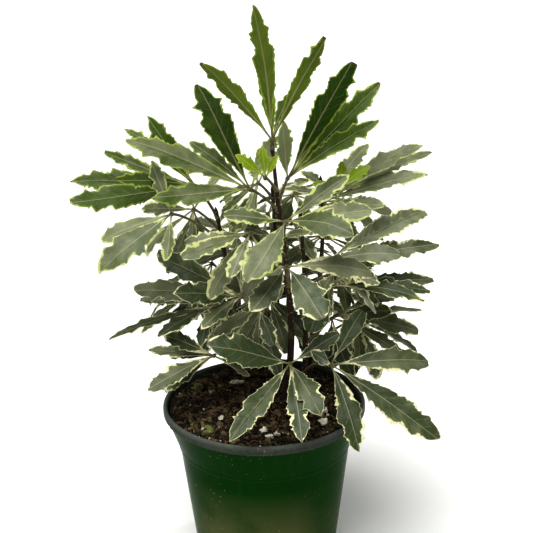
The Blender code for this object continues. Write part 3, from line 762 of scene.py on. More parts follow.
class AraliaLeafSettings(bpy.types.PropertyGroup):
    """Sizes and colours of the leaflets."""

    half_thickness: FloatProperty(
        name="Half thickness", description="Half of a blade's thickness between its veins",
        default=0.00017, unit="LENGTH", precision=5)
    fold: FloatProperty(
        name="Fold", description="How far each half of a leaflet is folded up along its midrib",
        default=math.radians(13), subtype="ANGLE")
    wave: FloatProperty(
        name="Wave", description="Height of the waves along a leaflet's margin",
        default=0.0009, unit="LENGTH", precision=5)
    wave_length: FloatProperty(
        name="Wave length", description="Distance from wave to wave along the margin",
        default=0.017, unit="LENGTH", precision=4)
    tooth_height: FloatProperty(
        name="Small teeth", description="Height of the small teeth between the big ones",
        default=0.0014, unit="LENGTH", precision=5)
    tooth_spacing: FloatProperty(
        name="Tooth spacing", description="Distance between the small teeth",
        default=0.004, unit="LENGTH", precision=4)
    margin: FloatProperty(
        name="Cream margin", description="Mean width of the cream margin",
        default=0.00072, unit="LENGTH", precision=5)
    vein_spacing: FloatProperty(
        name="Vein spacing", description="Distance between side veins along the midrib",
        default=0.0064, unit="LENGTH", precision=4)
    green: FloatVectorProperty(
        name="Upper green", description="The deep green of the upper side",
        default=linear("#37461c"), subtype="COLOR", size=3)
    # Painted sheen: these grey patches stand for the light's reflection on the upper side.
    sheen_grey_green: FloatVectorProperty(
        name="Upper grey green", description="The greyer patches of the upper side",
        default=linear("#8a8f6a"), subtype="COLOR", size=3)
    under: FloatVectorProperty(
        name="Underside", description="The paler green of the underside",
        default=linear("#5c6c34"), subtype="COLOR", size=3)
    cream: FloatVectorProperty(
        name="Cream", description="The variegated margin",
        default=linear("#f5f0c4"), subtype="COLOR", size=3)
    midrib: FloatVectorProperty(
        name="Midrib", description="The pale line of the midrib",
        default=linear("#bdb894"), subtype="COLOR", size=3)
    fresh_green: FloatVectorProperty(
        name="Fresh green", description="The clearer green of the youngest grown leaves",
        default=linear("#465e12"), subtype="COLOR", size=3)
    fresh_edge: FloatVectorProperty(
        name="Fresh margin", description="The yellow green margin of the youngest grown leaves",
        default=linear("#c8ce86"), subtype="COLOR", size=3)


class AraliaShootSettings(bpy.types.PropertyGroup):
    """Colours of the young shoots."""

    lime: FloatVectorProperty(
        name="Lime", description="The young leaves' fresh green",
        default=linear("#86a01c"), subtype="COLOR", size=3)
    edge: FloatVectorProperty(
        name="Pale edge", description="The young leaves' paler edge",
        default=linear("#b9c65a"), subtype="COLOR", size=3)


class AraliaStemSettings(bpy.types.PropertyGroup):
    """Sizes and colours of the stems and the leaf stalks."""

    node_swell: FloatProperty(
        name="Node swell", description="How much thicker a stem is where a leaf stalk leaves it",
        default=0.0004, unit="LENGTH", precision=5)
    bark: FloatVectorProperty(
        name="Bark", description="The stems' dark bark",
        default=linear("#2c2011"), subtype="COLOR", size=3)
    lenticel: FloatVectorProperty(
        name="Lenticels", description="Pale pores in the bark",
        default=linear("#8a7f5c"), subtype="COLOR", size=3)
    stalk: FloatVectorProperty(
        name="Stalk", description="The leaf stalks' olive brown",
        default=linear("#5d5a35"), subtype="COLOR", size=3)


class AraliaPotSettings(bpy.types.PropertyGroup):
    """Sizes and colours of the pot."""

    sides: IntProperty(name="Sides", description="Steps round the pot", default=240, min=24)
    green: FloatVectorProperty(
        name="Pot green", description="The plastic's deep green",
        default=linear("#0a3406"), subtype="COLOR", size=3)
    lip: FloatVectorProperty(
        name="Lip", description="The scuffed lip's grey green",
        default=linear("#3c413a"), subtype="COLOR", size=3)
    # A painted reflection as well as dried soil water: the brownish film on the pot's lower wall.
    dust_and_reflection: FloatVectorProperty(
        name="Dust", description="Dried soil water on the wall",
        default=linear("#525735"), subtype="COLOR", size=3)


class AraliaSoilSettings(bpy.types.PropertyGroup):
    """Sizes and colours of the potting mix."""

    crumbs: IntProperty(name="Crumbs", description="Loose crumbs of peat", default=3800, min=0)
    fibres: IntProperty(name="Fibres", description="Loose fibres of peat", default=1100, min=0)
    grains: IntProperty(name="Grains", description="Small grains of perlite", default=190, min=0)
    lumps: IntProperty(name="Lumps", description="Loose green crumbs", default=26, min=0)
    peat: FloatVectorProperty(
        name="Peat", description="Moist dark peat", default=linear("#2f2410"), subtype="COLOR", size=3)
    dry_peat: FloatVectorProperty(
        name="Dry peat", description="Peat that has dried at its edges",
        default=linear("#77674a"), subtype="COLOR", size=3)
    perlite: FloatVectorProperty(
        name="Perlite", description="White expanded perlite",
        default=linear("#efecd9"), subtype="COLOR", size=3)
    moss: FloatVectorProperty(
        name="Green crumbs", description="Crumbs with algae on them",
        default=linear("#747c3e"), subtype="COLOR", size=3)


class AraliaStageSettings(bpy.types.PropertyGroup):
    """The studio."""

    floor: FloatVectorProperty(
        name="Floor", description="The pale floor", default=linear("#f3f3f1"), subtype="COLOR", size=3)
    lens: FloatProperty(name="Lens", description="Focal length on a 36 mm sensor, in mm", default=60.79)
    pitch: FloatProperty(
        name="Pitch", description="How far the camera looks down",
        default=math.radians(17.64), subtype="ANGLE")
    roll: FloatProperty(
        name="Roll", description="How far the camera is rolled",
        default=math.radians(-1.02), subtype="ANGLE")
    place: FloatVectorProperty(
        name="Camera place", description="Where the camera stands", default=(0.0028, -0.4643, 0.3210),
        subtype="TRANSLATION", size=3)
    surround: FloatProperty(
        name="Surround", description="Strength of the even white surround", default=0.3, min=0)
    key_energy: FloatProperty(
        name="Key light", description="Strength of the soft key", default=4.0, min=0)
    key_angle: FloatProperty(
        name="Key width", description="How wide the key looks from the plant",
        default=math.radians(50), subtype="ANGLE")
    strip_power: FloatProperty(
        name="Strip light", description="Power of the strip, in watts", default=2.5, min=0)
    gamma: FloatProperty(name="Gamma", description="Gamma of the picture", default=0.85, min=0)


# Materials.


def leaf_cuticle(settings, name, tints):
    """The waxy skin of a leaf: a satin green, greyed by its gloss and by a painted grey
    sheen, a cream margin with a ragged inner border, a pale midrib, faint side veins and a
    matt, clearer green underside. The youngest grown leaves are greener with a yellow green
    margin. A little light passes through."""
    surface, tree, shader = blank_material(name)
    read = {}
    for key in ("across", "edge", "run", "share", "tone", "upper", "fresh", "young", "grey_and_sheen"):
        read[key] = add_node(tree, "ShaderNodeAttribute", attribute_name=key).outputs["Fac"]
    far = add_node(tree, "ShaderNodeMath", {0: read["tone"], 1: 173.0}, operation="MULTIPLY").outputs[0]
    place = add_node(
        tree, "ShaderNodeCombineXYZ", {0: read["run"], 1: read["across"], 2: far}).outputs[0]
    size = add_node(tree, "ShaderNodeMath", {0: read["across"]}, operation="ABSOLUTE").outputs[0]

    # Fine uneven features of 2.5 mm, which several of the parts below share.
    fine = add_node(
        tree, "ShaderNodeTexNoise",
        {"Vector": place, "Scale": 0.4, "Detail": 3.0, "Roughness": 0.65}).outputs["Fac"]

    # Side veins leave the midrib every few millimetres, left and right in turn.
    ahead = add_node(
        tree, "ShaderNodeMath",
        {0: size, 1: -0.75, 2: read["run"]}, operation="MULTIPLY_ADD").outputs[0]
    step = add_node(
        tree, "ShaderNodeMath",
        {0: ahead, 1: 0.001 / settings.vein_spacing}, operation="MULTIPLY").outputs[0]
    half = add_node(tree, "ShaderNodeMath", {0: read["across"]}, operation="SIGN").outputs[0]
    turn = add_node(
        tree, "ShaderNodeMath", {0: half, 1: 0.25, 2: step}, operation="MULTIPLY_ADD").outputs[0]
    wander = add_node(
        tree, "ShaderNodeMath", {0: fine, 1: 0.55, 2: turn}, operation="MULTIPLY_ADD").outputs[0]
    swing = add_node(tree, "ShaderNodeMath", {0: wander, 1: 0.5}, operation="PINGPONG").outputs[0]
    line = add_node(tree, "ShaderNodeMapRange", {0: swing, 1: 0.05, 2: 0.01}).outputs[0]
    fade = add_node(tree, "ShaderNodeMapRange", {0: read["edge"], 1: 0.6, 2: 2.4}).outputs[0]

    # The margin: features of about 12 mm set its width, it reaches further in between the side
    # veins, and the fine features fray it.
    slow = add_node(
        tree, "ShaderNodeTexNoise", {"Vector": place, "Scale": 0.085, "Detail": 2.0}).outputs["Fac"]
    width = add_node(
        tree, "ShaderNodeMapRange",
        {0: slow, 1: 0.4, 2: 0.72, 3: settings.margin * -700, 4: settings.margin * 2350}).outputs[0]
    more = add_node(tree, "ShaderNodeMapRange", {0: read["young"], 4: settings.margin * 700}).outputs[0]
    width = add_node(tree, "ShaderNodeMath", {0: width, 1: more}, operation="ADD").outputs[0]
    less = add_node(tree, "ShaderNodeMapRange", {0: read["fresh"], 3: 1.0, 4: 0.4}).outputs[0]
    width = add_node(tree, "ShaderNodeMath", {0: width, 1: less}, operation="MULTIPLY").outputs[0]
    width = add_node(
        tree, "ShaderNodeMath", {0: swing, 1: 0.5, 2: width}, operation="MULTIPLY_ADD").outputs[0]
    fray = add_node(
        tree, "ShaderNodeMath", {0: fine, 1: 3.2, 2: -1.45}, operation="MULTIPLY_ADD").outputs[0]
    ragged = add_node(tree, "ShaderNodeMath", {0: read["edge"], 1: fray}, operation="ADD").outputs[0]
    depth = add_node(tree, "ShaderNodeMath", {0: ragged, 1: width}, operation="SUBTRACT").outputs[0]
    wide = add_node(tree, "ShaderNodeMapRange", {0: depth, 1: 0.1, 2: -0.1}).outputs[0]
    line_in = add_node(tree, "ShaderNodeMapRange", {0: read["fresh"], 3: 0.36, 4: 0.8}).outputs[0]
    thin = add_node(
        tree, "ShaderNodeMapRange", {0: read["edge"], 1: line_in, 2: 0.12, 4: 0.85}).outputs[0]
    rim = add_node(tree, "ShaderNodeMath", {0: wide, 1: thin}, operation="MAXIMUM").outputs[0]
    band = add_node(tree, "ShaderNodeMapRange", {0: depth, 1: 1.0, 2: 0.0, 4: 0.35}).outputs[0]
    hue = add_node(tree, "ShaderNodeMapRange", {0: fine, 1: 0.35, 2: 0.65, 4: 0.45}).outputs[0]
    pale = rgba(tints["edge"])
    for amount, colour in (
            (hue, linear("#c3c67c")), (read["young"], tints["fresh_edge"]),
            (read["fresh"], linear("#a3b548"))):
        pale = add_node(
            tree, "ShaderNodeMix", {0: amount, 6: pale, 7: rgba(colour)}, data_type="RGBA").outputs[2]

    # The green: patches of about 12 mm, a painted grey sheen set by leaf and leaflet, and a
    # lighter band beside the margin.
    blotch = add_node(
        tree, "ShaderNodeTexNoise",
        {"Vector": place, "Scale": 0.085, "Detail": 4.0, "Roughness": 0.55}).outputs["Fac"]
    patches_and_sheen = add_node(
        tree, "ShaderNodeMapRange", {0: blotch, 1: 0.36, 2: 0.64, 3: -0.25, 4: 0.25}).outputs[0]
    patches_and_sheen = add_node(tree, "ShaderNodeMath", {0: read["grey_and_sheen"], 1: patches_and_sheen}, operation="ADD").outputs[0]
    keep = add_node(tree, "ShaderNodeMapRange", {0: patches_and_sheen, 1: 0.3, 2: 0.8, 3: 1.0, 4: 0.2}).outputs[0]
    clearer = add_node(
        tree, "ShaderNodeMath", {0: read["fresh"], 1: keep}, operation="MULTIPLY").outputs[0]
    top = rgba(tints["green"])
    for amount, colour in (
            (patches_and_sheen, tints["sheen_patch"]), (clearer, tints["fresh"]), (band, linear("#7f8a55"))):
        top = add_node(
            tree, "ShaderNodeMix", {0: amount, 6: top, 7: rgba(colour)}, data_type="RGBA").outputs[2]
    bottom = add_node(
        tree, "ShaderNodeMix", {0: patches_and_sheen, 6: rgba(tints["under"]), 7: rgba(linear("#75814a"))},
        data_type="RGBA").outputs[2]
    # Painted shade: the clear underside of a fresh leaf goes darker where the painted values rise.
    clear = add_node(
        tree, "ShaderNodeMix", {0: patches_and_sheen, 6: rgba(linear("#73882e")), 7: rgba(linear("#2c4a00"))},
        data_type="RGBA").outputs[2]
    bottom = add_node(
        tree, "ShaderNodeMix", {0: read["fresh"], 6: bottom, 7: clear}, data_type="RGBA").outputs[2]
    blade = add_node(
        tree, "ShaderNodeMix", {0: read["upper"], 6: bottom, 7: top}, data_type="RGBA").outputs[2]

    # Side veins are hardly paler. The midrib is a pale line above and a wider tan one below.
    vein = add_node(tree, "ShaderNodeMath", {0: line, 1: fade}, operation="MULTIPLY").outputs[0]
    faint = add_node(tree, "ShaderNodeMath", {0: vein, 1: 0.18}, operation="MULTIPLY").outputs[0]
    taper = add_node(tree, "ShaderNodeMapRange", {0: read["share"], 3: 0.27, 4: 0.08}).outputs[0]
    wider = add_node(tree, "ShaderNodeMapRange", {0: read["upper"], 3: 2.0, 4: 1.0}).outputs[0]
    reach = add_node(tree, "ShaderNodeMath", {0: taper, 1: wider}, operation="MULTIPLY").outputs[0]
    over = add_node(tree, "ShaderNodeMath", {0: size, 1: reach}, operation="SUBTRACT").outputs[0]
    rib = add_node(tree, "ShaderNodeMapRange", {0: over, 1: 0.1, 2: -0.06, 4: 0.55}).outputs[0]
    tan = add_node(
        tree, "ShaderNodeMix", {0: read["upper"], 6: rgba(linear("#c2b38c")), 7: rgba(tints["rib"])},
        data_type="RGBA").outputs[2]

    # The stalk of a leaflet is olive brown, and some tips have dried.
    root = add_node(
        tree, "ShaderNodeMapRange", {0: read["share"], 1: 0.13, 2: 0.06, 4: 0.85}).outputs[0]
    end = add_node(tree, "ShaderNodeMapRange", {0: read["share"], 1: 0.97, 2: 0.99, 4: 0.8}).outputs[0]
    old = add_node(
        tree, "ShaderNodeMath", {0: read["tone"], 1: 0.6}, operation="GREATER_THAN").outputs[0]
    dry = add_node(tree, "ShaderNodeMath", {0: end, 1: old}, operation="MULTIPLY").outputs[0]

    # Pale pores 1.25 mm apart, drawn up to 0.4 mm wide because real ones are too fine to show.
    pores = add_node(
        tree, "ShaderNodeTexVoronoi",
        {"Vector": place, "Scale": 0.8, "Randomness": 1.0}).outputs["Distance"]
    dots = add_node(tree, "ShaderNodeMapRange", {0: pores, 1: 0.16, 2: 0.09, 4: 0.14}).outputs[0]
    for amount, colour in (
            (faint, rgba(tints["rib"])), (rim, pale), (rib, tan), (root, rgba(linear("#77704a"))),
            (dry, rgba(linear("#5d4c31"))), (dots, rgba(linear("#c9cdb4")))):
        blade = add_node(
            tree, "ShaderNodeMix", {0: amount, 6: blade, 7: colour}, data_type="RGBA").outputs[2]

    # The gloss changes over 1.7 mm. The relief is a net of veins 1.25 mm wide, under which the
    # side veins are sunk.
    grain = add_node(
        tree, "ShaderNodeTexNoise", {"Vector": place, "Scale": 0.6, "Detail": 3.0}).outputs["Fac"]
    gloss = add_node(tree, "ShaderNodeMapRange", {0: grain, 1: 0.3, 2: 0.7, 3: 0.4, 4: 0.54}).outputs[0]
    rough = add_node(
        tree, "ShaderNodeMix", {0: read["upper"], 2: 0.6, 3: gloss}, data_type="FLOAT").outputs[0]
    cells = add_node(
        tree, "ShaderNodeTexVoronoi",
        {"Vector": place, "Scale": 0.8}, feature="DISTANCE_TO_EDGE").outputs["Distance"]
    net = add_node(tree, "ShaderNodeMapRange", {0: cells, 1: 0.0, 2: 0.25}).outputs[0]
    sunk = add_node(
        tree, "ShaderNodeMath", {0: vein, 1: -1.6, 2: net}, operation="MULTIPLY_ADD").outputs[0]
    relief = add_node(
        tree, "ShaderNodeBump",
        {"Height": sunk, "Strength": 0.4, "Distance": 0.00012}).outputs["Normal"]
    sheen = add_node(tree, "ShaderNodeMapRange", {0: read["fresh"], 3: 0.65, 4: 0.18}).outputs[0]
    join(tree, shader, {
        "Base Color": blade, "Roughness": rough, "Normal": relief, "Specular IOR Level": sheen,
        "IOR": 1.45})

    # Light that passes through is yellower, and more of it shows from below.
    lit = add_node(
        tree, "ShaderNodeMix", {0: 0.3, 6: blade, 7: rgba(tints["glow"])}, data_type="RGBA").outputs[2]
    passed = add_node(tree, "ShaderNodeMapRange", {0: read["upper"], 3: 0.42, 4: 0.14}).outputs[0]
    through = add_node(tree, "ShaderNodeBsdfTranslucent", {"Color": lit, "Normal": relief}).outputs[0]
    both = add_node(
        tree, "ShaderNodeMixShader", {0: passed, 1: shader.outputs[0], 2: through}).outputs[0]
    join(tree, tree.nodes["Material Output"], {"Surface": both})
    return surface


def bark_material(settings):
    """Woody stem bark: dark brown with fine upright cracks, pale lenticels that lie crosswise,
    and greenish patches, all matt."""
    surface, tree, shader = blank_material("woody_stem_bark")
    spot = add_node(tree, "ShaderNodeTexCoord").outputs["Object"]
    # Cracks are 0.5 mm apart and 4 mm long, lenticels 1.3 mm wide and half as high, and the
    # greenish patches 6 mm across.
    tall = add_node(
        tree, "ShaderNodeVectorMath", {0: spot, 1: (1.0, 1.0, 0.12)}, operation="MULTIPLY").outputs[0]
    crack = add_node(
        tree, "ShaderNodeTexNoise",
        {"Vector": tall, "Scale": 1900.0, "Detail": 4.0, "Roughness": 0.6}).outputs["Fac"]
    flat = add_node(
        tree, "ShaderNodeVectorMath", {0: spot, 1: (0.45, 0.45, 1.0)}, operation="MULTIPLY").outputs[0]
    pore = add_node(tree, "ShaderNodeTexVoronoi", {"Vector": flat, "Scale": 620.0}).outputs["Distance"]
    pores = add_node(tree, "ShaderNodeMapRange", {0: pore, 1: 0.24, 2: 0.13}).outputs[0]
    cloud = add_node(
        tree, "ShaderNodeTexNoise", {"Vector": spot, "Scale": 160.0, "Detail": 3.0}).outputs["Fac"]
    green = add_node(tree, "ShaderNodeMapRange", {0: cloud, 1: 0.54, 2: 0.66, 4: 0.55}).outputs[0]
    dark, light = (tuple(c * share for c in settings.bark) for share in (0.35, 1.5))
    shade = rgba(dark)
    for amount, colour in (
            (crack, light), (green, linear("#4d4f2b")), (pores, settings.lenticel)):
        shade = add_node(
            tree, "ShaderNodeMix", {0: amount, 6: shade, 7: rgba(colour)}, data_type="RGBA").outputs[2]
    bumps = add_node(
        tree, "ShaderNodeMath", {0: pores, 1: 0.8, 2: crack}, operation="MULTIPLY_ADD").outputs[0]
    relief = add_node(
        tree, "ShaderNodeBump",
        {"Height": bumps, "Strength": 0.7, "Distance": 0.0003}).outputs["Normal"]
    rough = add_node(tree, "ShaderNodeMapRange", {0: crack, 3: 0.62, 4: 0.86}).outputs[0]
    join(tree, shader, {
        "Base Color": shade, "Roughness": rough, "Normal": relief, "Specular IOR Level": 0.25})
    return surface


def stalk_material(settings):
    """The skin of a leaf stalk: smooth olive brown with pale and dark flecks."""
    surface, tree, shader = blank_material("leaf_stalk_skin")
    spot = add_node(tree, "ShaderNodeTexCoord").outputs["Object"]
    # Flecks of up to 2 mm, on a tone that changes over 14 mm.
    fleck = add_node(
        tree, "ShaderNodeTexNoise",
        {"Vector": spot, "Scale": 520.0, "Detail": 3.0, "Roughness": 0.6}).outputs["Fac"]
    slow = add_node(
        tree, "ShaderNodeTexNoise", {"Vector": spot, "Scale": 70.0, "Detail": 2.0}).outputs["Fac"]
    tint = add_node(tree, "ShaderNodeMapRange", {0: slow, 1: 0.4, 2: 0.62}).outputs[0]
    pale = add_node(tree, "ShaderNodeMapRange", {0: fleck, 1: 0.56, 2: 0.66, 4: 0.7}).outputs[0]
    dark = add_node(tree, "ShaderNodeMapRange", {0: fleck, 1: 0.44, 2: 0.34, 4: 0.7}).outputs[0]
    shade = rgba(settings.stalk)
    for amount, code in ((tint, "#4a3a24"), (pale, "#98976a"), (dark, "#2b2114")):
        shade = add_node(
            tree, "ShaderNodeMix",
            {0: amount, 6: shade, 7: rgba(linear(code))}, data_type="RGBA").outputs[2]
    relief = add_node(
        tree, "ShaderNodeBump",
        {"Height": fleck, "Strength": 0.4, "Distance": 0.0001}).outputs["Normal"]
    rough = add_node(tree, "ShaderNodeMapRange", {0: fleck, 3: 0.42, 4: 0.6}).outputs[0]
    join(tree, shader, {"Base Color": shade, "Roughness": rough, "Normal": relief})
    return surface


def pot_material(settings):
    """Injection-moulded polypropylene: a deep green with a smooth gloss, faint upright flow
    lines, a scuffed grey lip with a painted highlight towards its top edge, a brownish film on
    the lower wall that is partly dried soil water and partly a painted reflection, and small
    splashes of soil."""
    surface, tree, shader = blank_material("moulded_polypropylene")
    spot = add_node(tree, "ShaderNodeTexCoord").outputs["Object"]
    parts = add_node(tree, "ShaderNodeSeparateXYZ", {0: spot})
    # Flow lines are 4 mm apart and 77 mm long. The film changes over 36 mm; it is partly dried
    # soil water and partly a painted reflection.
    tall = add_node(
        tree, "ShaderNodeVectorMath", {0: spot, 1: (1.0, 1.0, 0.05)}, operation="MULTIPLY").outputs[0]
    flow = add_node(
        tree, "ShaderNodeTexNoise", {"Vector": tall, "Scale": 260.0, "Detail": 4.0}).outputs["Fac"]
    wall_cloud = add_node(
        tree, "ShaderNodeTexNoise",
        {"Vector": spot, "Scale": 28.0, "Detail": 4.0, "Roughness": 0.6}).outputs["Fac"]
    # A brownish film lies on the lower wall, thickest a little left of the front, and breaks up
    # above. It is partly dried soil water and partly a painted reflection.
    low = add_node(tree, "ShaderNodeMapRange", {0: parts.outputs[2], 1: 0.062, 2: 0.03}).outputs[0]
    aside = add_node(
        tree, "ShaderNodeMath", {0: parts.outputs[0], 1: 0.006}, operation="ADD").outputs[0]
    aside = add_node(tree, "ShaderNodeMath", {0: aside}, operation="ABSOLUTE").outputs[0]
    front = add_node(
        tree, "ShaderNodeMapRange", {0: aside, 1: 0.036, 2: 0.022, 3: 0.3, 4: 1.0}).outputs[0]
    cloud = add_node(tree, "ShaderNodeMapRange", {0: wall_cloud, 1: 0.34, 2: 0.5, 3: 0.45, 4: 1.0}).outputs[0]
    dust_and_reflection_mask = low
    for part in (cloud, front, 0.95):
        dust_and_reflection_mask = add_node(tree, "ShaderNodeMath", {0: dust_and_reflection_mask, 1: part}, operation="MULTIPLY").outputs[0]
    streak = add_node(tree, "ShaderNodeMapRange", {0: flow, 1: 0.5, 2: 0.72, 4: 0.08}).outputs[0]
    # The lip is the part above 90 mm. Its scuffs are 2.4 mm long, and a painted highlight
    # lightens it towards its top edge.
    lip = add_node(tree, "ShaderNodeMapRange", {0: parts.outputs[2], 1: 0.0897, 2: 0.0903}).outputs[0]
    scuff = add_node(
        tree, "ShaderNodeTexNoise",
        {"Vector": spot, "Scale": 420.0, "Detail": 5.0, "Roughness": 0.7}).outputs["Fac"]
    # A painted highlight: the lip is lighter towards its top edge.
    high = add_node(
        tree, "ShaderNodeMapRange", {0: parts.outputs[2], 1: 0.0925, 2: 0.0948, 4: 0.7}).outputs[0]
    scuffs_and_highlight = add_node(tree, "ShaderNodeMapRange", {0: scuff, 1: 0.3, 2: 0.8, 4: 0.6}).outputs[0]
    scuffs_and_highlight = add_node(tree, "ShaderNodeMath", {0: scuffs_and_highlight, 1: high}, operation="ADD").outputs[0]
    plain = tuple(c * 0.75 for c in settings.lip)
    edge = add_node(
        tree, "ShaderNodeMix",
        {0: scuffs_and_highlight, 6: rgba(plain), 7: rgba(linear("#575c54"))}, data_type="RGBA").outputs[2]
    # Splashes of soil up to 1 mm wide and 3 mm apart, more of them in fields of about 22 mm.
    grain = add_node(tree, "ShaderNodeTexVoronoi", {"Vector": spot, "Scale": 330.0}).outputs["Distance"]
    where = add_node(
        tree, "ShaderNodeTexNoise", {"Vector": spot, "Scale": 45.0, "Detail": 2.0}).outputs["Fac"]
    near = add_node(
        tree, "ShaderNodeMapRange", {0: where, 1: 0.45, 2: 0.7, 3: 0.02, 4: 0.16}).outputs[0]
    less = add_node(tree, "ShaderNodeMath", {0: grain, 1: near}, operation="LESS_THAN").outputs[0]
    speck = add_node(tree, "ShaderNodeMath", {0: less, 1: 0.7}, operation="MULTIPLY").outputs[0]
    coat = rgba(settings.green)
    for amount, colour in (
            (dust_and_reflection_mask, rgba(settings.dust_and_reflection)), (streak, rgba(linear("#2c5a22"))), (lip, edge),
            (speck, rgba(linear("#8a7a58")))):
        coat = add_node(
            tree, "ShaderNodeMix", {0: amount, 6: coat, 7: colour}, data_type="RGBA").outputs[2]
    gloss = add_node(
        tree, "ShaderNodeMapRange", {0: wall_cloud, 1: 0.35, 2: 0.65, 3: 0.2, 4: 0.34}).outputs[0]
    rough = add_node(tree, "ShaderNodeMix", {0: lip, 2: gloss, 3: 0.42}, data_type="FLOAT").outputs[0]
    rough = add_node(tree, "ShaderNodeMix", {0: less, 2: rough, 3: 0.8}, data_type="FLOAT").outputs[0]
    mixed = add_node(
        tree, "ShaderNodeMath", {0: flow, 1: 0.5, 2: scuff}, operation="MULTIPLY_ADD").outputs[0]
    relief = add_node(
        tree, "ShaderNodeBump",
        {"Height": mixed, "Strength": 0.12, "Distance": 0.0002}).outputs["Normal"]
    join(tree, shader, {
        "Base Color": coat, "Roughness": rough, "Normal": relief, "IOR": 1.49,
        "Specular IOR Level": 0.012})
    return surface


def peat_material(settings, name):
    """Moist milled peat: a painted near-black shade in the hollows of its relief and brown where
    it has dried, quite matt, with crumbs up to 4 mm and fine fibres in its relief. Each loose
    crumb has its own dryness."""
    surface, tree, shader = blank_material(name)
    spot = add_node(tree, "ShaderNodeTexCoord").outputs["Object"]
    tone = add_node(tree, "ShaderNodeAttribute", attribute_name="tone").outputs["Fac"]
    # The mesh has the larger crumbs. These are 1.1 mm and finer, and the fibres 1.1 mm apart.
    crumb = add_node(
        tree, "ShaderNodeTexNoise",
        {"Vector": spot, "Scale": 900.0, "Detail": 5.0, "Roughness": 0.75}).outputs["Fac"]
    thread = add_node(
        tree, "ShaderNodeTexNoise",
        {"Vector": spot, "Scale": 900.0, "Detail": 2.0, "Distortion": 2.5}).outputs["Fac"]
    dry = add_node(tree, "ShaderNodeMath", {0: tone, 1: 3.0}, operation="POWER").outputs[0]
    mix = add_node(
        tree, "ShaderNodeMath", {0: dry, 1: 0.55, 2: crumb}, operation="MULTIPLY_ADD").outputs[0]
    dried = add_node(tree, "ShaderNodeMapRange", {0: mix, 1: 0.57, 2: 0.86}).outputs[0]
    painted_hollow_shade = add_node(tree, "ShaderNodeMapRange", {0: crumb, 1: 0.45, 2: 0.62}).outputs[0]
    hair = add_node(tree, "ShaderNodeMapRange", {0: thread, 1: 0.6, 2: 0.68, 4: 0.5}).outputs[0]
    # Painted shade: the hollows of the relief start from a near-black copy of the peat.
    shade = rgba(tuple(c * 0.12 for c in settings.peat))
    for amount, colour in (
            (painted_hollow_shade, settings.peat), (dried, settings.dry_peat), (hair, linear("#6a5237"))):
        shade = add_node(
            tree, "ShaderNodeMix", {0: amount, 6: shade, 7: rgba(colour)}, data_type="RGBA").outputs[2]
    both = add_node(
        tree, "ShaderNodeMath", {0: hair, 1: 0.5, 2: crumb}, operation="MULTIPLY_ADD").outputs[0]
    relief = add_node(
        tree, "ShaderNodeBump", {"Height": both, "Strength": 1.0, "Distance": 0.0012}).outputs["Normal"]
    rough = add_node(tree, "ShaderNodeMapRange", {0: crumb, 3: 0.8, 4: 0.98}).outputs[0]
    join(tree, shader, {
        "Base Color": shade, "Roughness": rough, "Normal": relief, "Specular IOR Level": 0.2})
    return surface


def grain_material(name, pale, dark, scale):
    """Expanded perlite, a crumb with algae on it or a fibre of peat: matt and rough, with pits
    0.7 to 1.1 mm apart and darker stains."""
    surface, tree, shader = blank_material(name)
    spot = add_node(tree, "ShaderNodeTexCoord").outputs["Object"]
    pits = add_node(tree, "ShaderNodeTexVoronoi", {"Vector": spot, "Scale": scale}).outputs["Distance"]
    cloud = add_node(
        tree, "ShaderNodeTexNoise",
        {"Vector": spot, "Scale": scale * 0.4, "Detail": 4.0}).outputs["Fac"]
    stain = add_node(tree, "ShaderNodeMapRange", {0: cloud, 1: 0.4, 2: 0.7}).outputs[0]
    shade = add_node(
        tree, "ShaderNodeMix", {0: stain, 6: rgba(pale), 7: rgba(dark)}, data_type="RGBA").outputs[2]
    relief = add_node(
        tree, "ShaderNodeBump", {"Height": pits, "Strength": 0.8, "Distance": 0.0004}).outputs["Normal"]
    rough = add_node(tree, "ShaderNodeMapRange", {0: pits, 3: 0.7, 4: 0.95}).outputs[0]
    join(tree, shader, {"Base Color": shade, "Roughness": rough, "Normal": relief})
    return surface


# Leaves.


